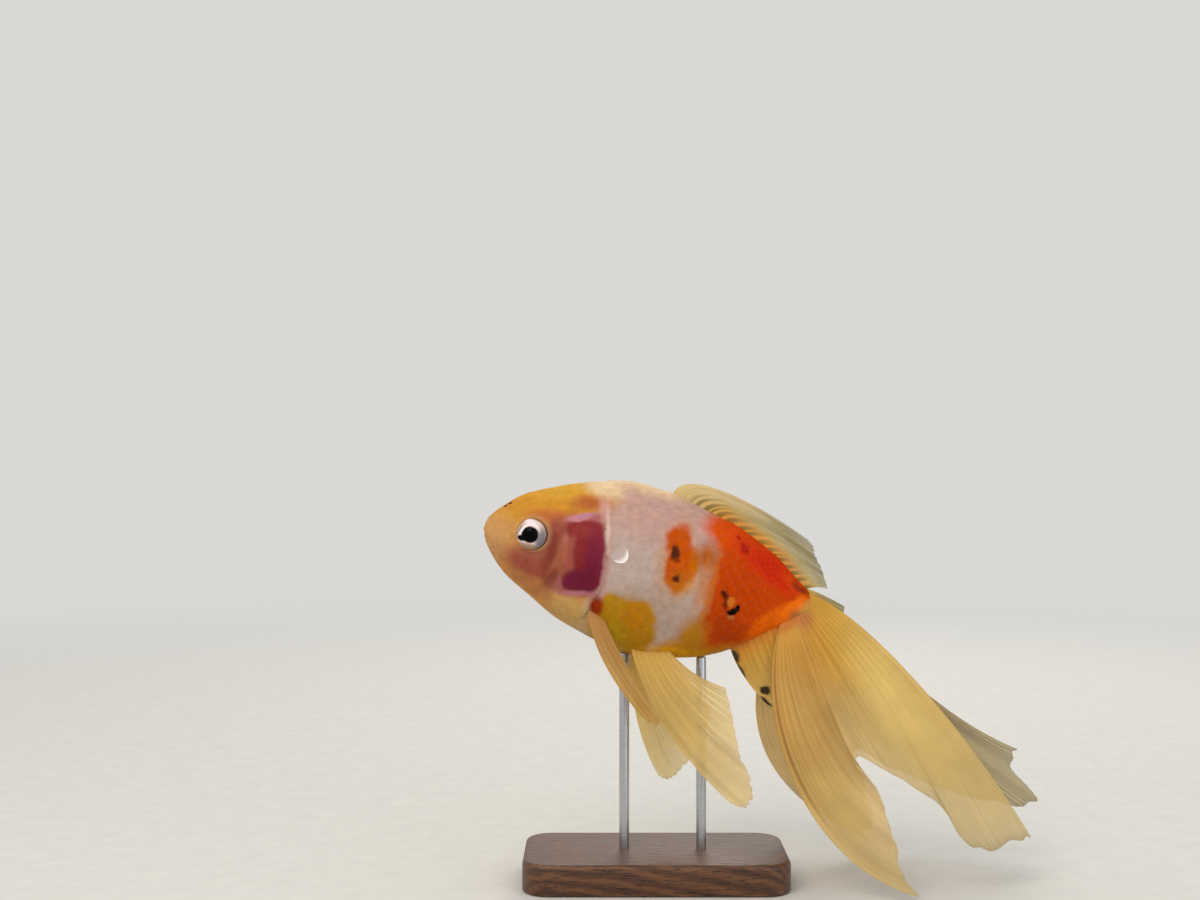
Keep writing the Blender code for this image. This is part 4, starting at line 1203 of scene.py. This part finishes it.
# colour between the rays, its strength, where it starts and is full across the fan, its reach
PLAIN_GAP = ("9C8244", 0.12, (-1.0, -0.9), 0.7)
GAPS = {
    "dorsal_fin": ("786418", 0.8, (0.04, 0.19), 0.5),
    "tail_fin_right": ("786A40", 0.55, (0.62, 0.42), 2.6),
}


def fin_material(name, rays, tints, solid, blots, lines, gap):
    """Membrane or ray finish: tints run from root to edge, solid is the opacity at both ends."""
    material, tree, shader = new_material(name, Roughness=0.42, IOR=1.4, Specular_IOR_Level=0.2)
    wave, across, along = streaks(tree, rays)
    base = add(tree, "ShaderNodeValToRGB", {0: along}, tints)
    place = frayed(tree, fish_place(tree), [(3.0, 0.8)])
    base = painted(tree, place, base, blots)
    colour, strength, (start, full), reach = gap
    near = add(tree, "ShaderNodeMapRange", {"Value": along, "From Min": reach, "From Max": reach * 0.4})
    low = {"Value": wave, "From Min": 0.85, "From Max": 0.35, "To Max": strength}
    low = add(tree, "ShaderNodeMapRange", low)
    between = add(tree, "ShaderNodeMath", {0: low, 1: near}, operation="MULTIPLY")
    here = add(tree, "ShaderNodeMapRange", {"Value": across, "From Min": start, "From Max": full})
    between = add(tree, "ShaderNodeMath", {0: between, 1: here}, operation="MULTIPLY")
    base = add(tree, "ShaderNodeMix", {0: between, 6: base, 7: linear(colour)}, data_type="RGBA")
    on_ray = add(tree, "ShaderNodeMapRange", {"Value": wave, "From Min": 0.4, "To Max": RAY_TINT})
    tinted = add(tree, "ShaderNodeMix", {0: on_ray, 6: base, 7: linear("F2DEA8")}, data_type="RGBA")
    aside = add(tree, "ShaderNodeMath", {0: across, 1: 100.0}, operation="MULTIPLY")
    onward = add(tree, "ShaderNodeMath", {0: along, 1: 100.0}, operation="MULTIPLY")
    own = add(tree, "ShaderNodeCombineXYZ", {0: aside, 2: onward})
    tinted = painted(tree, own, tinted, lines)
    drawn = add(tree, "ShaderNodeVectorMath", {0: own, 1: (0.10 * rays, 1, 0.014)}, operation="MULTIPLY")
    hairs = add(tree, "ShaderNodeTexNoise", {"Vector": drawn, "Scale": 1.0, "Detail": 4.0})
    cloud = add(tree, "ShaderNodeTexNoise", {"Vector": place, "Scale": 0.12, "Detail": 3.0})
    both = add(tree, "ShaderNodeMix", {0: 0.35, 2: hairs, 3: cloud})
    tones = {"Value": both, "From Min": 0.34, "From Max": 0.66, "To Min": 0.88, "To Max": 1.15}
    tone = add(tree, "ShaderNodeMapRange", tones)
    toned = add(tree, "ShaderNodeVectorMath", {0: tinted, "Scale": tone}, operation="SCALE")
    opacity = add(tree, "ShaderNodeMapRange", {"Value": along, "To Min": solid[0], "To Max": solid[1]})
    thicker = add(tree, "ShaderNodeMapRange", {"Value": both, "To Min": -0.10, "To Max": 0.10})
    alpha = add(tree, "ShaderNodeMath", {0: opacity, 1: thicker}, operation="ADD", use_clamp=True)
    bump = add(tree, "ShaderNodeBump", {"Strength": 0.3, "Distance": 0.00006, "Height": hairs})
    feed(shader, {"Base Color": toned, "Alpha": alpha, "Normal": bump})
    return material


CREAM = [(0.0, "C48026"), (0.07, "C88E2A"), (0.25, "D0A64E"), (0.6, "D6B56C"), (1.0, "CCB47A")]
FAR_CREAM = [(0.0, "BE8238"), (0.08, "C4924A"), (0.3, "C6A25E"), (0.7, "C6AE72"), (1.0, "C0B07C")]
BELLY_CREAM = [(0.0, "CC9A44"), (0.12, "CEA450"), (0.5, "D0AE64"), (1.0, "E2C67C")]
# painted light: the far belly fin's tints are lighter than the near one's, for light coming through it from
# behind
FAR_BELLY_PAINTED_LIGHT = [(0.0, "DAA442"), (0.1, "E6BA5A"), (0.5, "FADA7C"), (1.0, "FFEA98")]
BREAST = [(0.0, "A86036"), (0.12, "B68048"), (0.6, "C0944C"), (1.0, "C8A258")]
BACK = [(0.0, "D29A26"), (0.2, "DAB650"), (0.55, "B6A464"), (1.0, "A09868")]
ANAL = [(0.0, "C26A0C"), (0.14, "C88424"), (0.3, "C8983A"), (0.6, "D2AC58"), (1.0, "DCBC74")]
TAIL_BLOTS = [
    ("BC904C", (92, -24), (15, 22), 0, 0.7, 0.6),
    ("D2B06A", (110, -48), (10, 15), 30, 0.7, 0.6),
    ("CC9A30", (94, -3), (12, 10), 30, 0.7, 0.8),
    ("E6C674", (114, -15), (18, 6), 42, 0.7, 0.8),
    # painted light: a paler streak where the lower lobe's fold shades it
    ("E8C88A", (113, -38), (16, 5), 52, 0.8, 0.5),
    ("B87A28", (89, -8), (6, 9), 0, 0.7, 0.5),
    ("AC6032", (85.6, -0.8), (2.4, 3.4), -36, 0.7, 0.8),
    ("BC6420", (82.6, -3.6), (3.4, 1.4), -52, 0.7, 0.85),
]
# painted light: the far tail's lower lobe is lightened where it lies in shade
FAR_TAIL_PAINTED_LIGHT = [("F2D288", (88, -32), (14, 24), 0, 0.7, 1)]
BACK_BLOTS = [
    ("DCC486", (50, 23.5), (8, 4.5), 8, 0.5, 0.95),
    ("E0C68C", (60, 24.4), (11, 2.0), 12, 0.7, 0.9),
    ("DC9406", (67.5, 16.0), (12, 2.2), 21, 0.6, 1),
    ("DC840C", (77.5, 11.2), (7, 1.3), 27, 0.7, 0.6),
    ("D8943C", (82.0, 8.2), (4.5, 1.3), 32, 0.7, 0.7),
]
ANAL_BLOTS = [
    ("120504", (81.0, -21.4), (1.4, 1.1), 0, 0.3, 1),
    ("120504", (71.7, -15.5), (1.7, 1.0), 48, 0.4, 1),
    ("2A1208", (74.0, -18.4), (1.9, 0.6), 47, 0.5, 0.9),
    ("120504", (81.9, -24.4), (1.9, 0.4), 30, 0.4, 1),
]
TAIL_LINES = [  # places across and along the fan, in percent
    ("8A5426", (98.0, 26), (0.6, 38), 0, 0.6, 0.65),
    ("9A6A34", (86.0, 40), (0.3, 24), 0, 0.7, 0.5),
    ("9A6A34", (76.0, 55), (0.3, 26), 0, 0.7, 0.5),
]
LOOKS = {
    "dorsal_fin": (BACK, (0.92, 0.36), BACK_BLOTS),
    "tail_crest": (BACK, (0.92, 0.55), ()),
    "tail_fin_left": (CREAM, (0.97, 0.60), TAIL_BLOTS),
    "tail_fin_right": (FAR_CREAM, (0.95, 0.58), FAR_TAIL_PAINTED_LIGHT),
    "anal_fin_left": (ANAL, (0.92, 0.7), ANAL_BLOTS),
    "anal_fin_right": (ANAL, (0.92, 0.7), ()),
    "pelvic_fin_left": (BELLY_CREAM, (0.93, 0.48), ()),
    "pelvic_fin_right": (FAR_BELLY_PAINTED_LIGHT, (0.93, 0.48), ()),
    "pectoral_fin_left": (BREAST, (0.95, 0.65), ()),
    "pectoral_fin_right": (BREAST, (0.95, 0.65), ()),
}
BELLY_LINES = [("F4E0A4", (at, 74), (0.5, 24), 0, 0.7, 0.8) for at in (56, 63, 70, 76, 83, 89, 95)]
LINES = {"tail_fin_left": TAIL_LINES, "pelvic_fin_left": BELLY_LINES, "pelvic_fin_right": BELLY_LINES}
for fin_name, fin in FINS.items():
    tints, solid, blots = LOOKS[fin_name]
    marks = {"blots": blots, "lines": LINES.get(fin_name, ()), "gap": GAPS.get(fin_name, PLAIN_GAP)}
    slot = "pink_fin" if fin_name.startswith("pectoral") else "cream_fin"
    web = fin_material(f"clear_membrane_{fin_name}", fin[1], tints, solid, **marks)
    bone = fin_material(f"bony_ray_{fin_name}", fin[1], tints, (1.0, 0.7), **marks)
    dress(membrane(f"{fin_name}_membrane", fin, web), slot, fin_name)
    dress(fin_rays(f"{fin_name}_rays", fin, bone), slot)

# %% [markdown]
# ## The stand
#
# The base is a solid block of walnut with a softened edge, oiled and not varnished, so its grain
# shows and its gloss is low. Walnut grain runs along the block in bands of early and late wood two
# or three millimetres apart, with short dark pores. The rods are ground steel, which has fine rings
# round it and a soft stretched highlight.

# %% Walnut base
_, BASE_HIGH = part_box("stand_base")
BASE_CORNER, BASE_EDGE = 7.0 * MM, 1.2 * MM  # radius of its corners, and of its upper edge
CORNER_POINTS, EDGE_POINTS = 10, 7


def rounded_outline(half_x, half_y, corner, z):
    """A ring of points at one height: an oblong with round corners."""
    points = []
    for quarter, (sx, sy) in enumerate(((1, 1), (-1, 1), (-1, -1), (1, -1))):
        for angle in np.linspace(quarter, quarter + 1, CORNER_POINTS) * math.pi / 2:
            x = sx * (half_x - corner) + corner * math.cos(angle)
            points.append((x, sy * (half_y - corner) + corner * math.sin(angle), z))
    return points


def walnut_base(material):
    """A block with a slightly broken lower edge and a quarter round along its upper one."""
    half_x, half_y, height = BASE_HIGH
    levels = [(0.0, BASE_EDGE / 2), (BASE_EDGE / 4, BASE_EDGE / 6), (BASE_EDGE / 2, 0.0)]
    levels += [(height - BASE_EDGE * 1.2, 0.0)]
    for turn in np.linspace(0.0, math.pi / 2, EDGE_POINTS):
        levels.append((height - BASE_EDGE * (1 - math.sin(turn)), BASE_EDGE * (1 - math.cos(turn))))
    rings = [rounded_outline(half_x - inset, half_y - inset, BASE_CORNER - inset, z) for z, inset in levels]
    return stacked("walnut_base", rings, material)


walnut, tree, shader = new_material("oiled_walnut", Roughness=0.42, IOR=1.5)
room = add(tree, "ShaderNodeTexCoord").outputs["Object"]
askew = {"Vector": room, "Rotation": (0.12, 0.05, 0.03), "Scale": (60, 420, 420)}
grain_place = add(tree, "ShaderNodeMapping", askew)
bend = add(tree, "ShaderNodeTexNoise", {"Vector": grain_place, "Scale": 0.6, "Detail": 3.0})
growth = {"Vector": grain_place, "Scale": 0.55, "Distortion": 7.0, "Detail": 3.0}
bands = add(tree, "ShaderNodeTexWave", growth, bands_direction="DIAGONAL").outputs["Fac"]
pore_place = add(tree, "ShaderNodeMapping", {"Vector": room, "Scale": (350, 4200, 4200)})
pores = add(tree, "ShaderNodeTexNoise", {"Vector": pore_place, "Scale": 1.0, "Detail": 2.0})
wood_tones = [(0.0, "3A2216"), (0.35, "54331F"), (0.7, "6B4429"), (1.0, "7C5233")]
mixed = add(tree, "ShaderNodeMix", {0: 0.45, 2: bands, 3: bend})
wood = add(tree, "ShaderNodeValToRGB", {0: mixed}, wood_tones)
pits = add(tree, "ShaderNodeMapRange", {"Value": pores, "From Min": 0.36, "From Max": 0.46})
dark = add(tree, "ShaderNodeMix", {0: pits, 6: linear("2A170E"), 7: wood}, data_type="RGBA")
bump = add(tree, "ShaderNodeBump", {"Strength": 0.35, "Distance": 0.0001, "Height": pits})
worn_gloss = add(tree, "ShaderNodeMapRange", {"Value": bands, "To Min": 0.34, "To Max": 0.5})
feed(shader, {"Base Color": dark, "Normal": bump, "Roughness": worn_gloss})
dress(walnut_base(walnut), "walnut", "stand_base")

# %% Steel rods
ROD_SIDES = 64

steel, tree, shader = new_material("ground_steel", Metallic=1.0, Roughness=0.28, Anisotropic=0.4)
room = add(tree, "ShaderNodeTexCoord").outputs["Object"]
ring_place = add(tree, "ShaderNodeMapping", {"Vector": room, "Scale": (300, 300, 9000)})
rings = add(tree, "ShaderNodeTexNoise", {"Vector": ring_place, "Scale": 1.0, "Detail": 2.0})
metal = add(tree, "ShaderNodeValToRGB", {0: rings}, [(0.3, "B2B4B6"), (0.7, "BEC0C2")])
ground = add(tree, "ShaderNodeMapRange", {"Value": rings, "To Min": 0.25, "To Max": 0.32})
bump = add(tree, "ShaderNodeBump", {"Strength": 0.05, "Distance": 0.00002, "Height": rings})
feed(shader, {"Base Color": metal, "Roughness": ground, "Normal": bump})


def steel_rod(name, node):
    """A turned rod with a small rounded top, in place of the frame's coarser one."""
    low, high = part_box(node)
    middle, radius = (low + high) / 2, (high.x - low.x) / 2
    levels = [(low.z, 0.85), (low.z + 0.1 * MM, 1.0)]  # height, share of the radius
    levels += [(high.z - 0.4 * MM, 1.0), (high.z - 0.12 * MM, 0.9), (high.z, 0.6)]
    rings = []
    for z, share in levels:
        reach = radius * share
        angles = [2 * math.pi * side / ROD_SIDES for side in range(ROD_SIDES)]
        rings.append([(middle.x + reach * math.cos(a), middle.y + reach * math.sin(a), z) for a in angles])
    return stacked(name, rings, steel)


for word in ("front", "rear"):
    dress(steel_rod(f"steel_rod_{word}", f"stand_rod_{word}"), "satin_steel", f"stand_rod_{word}")
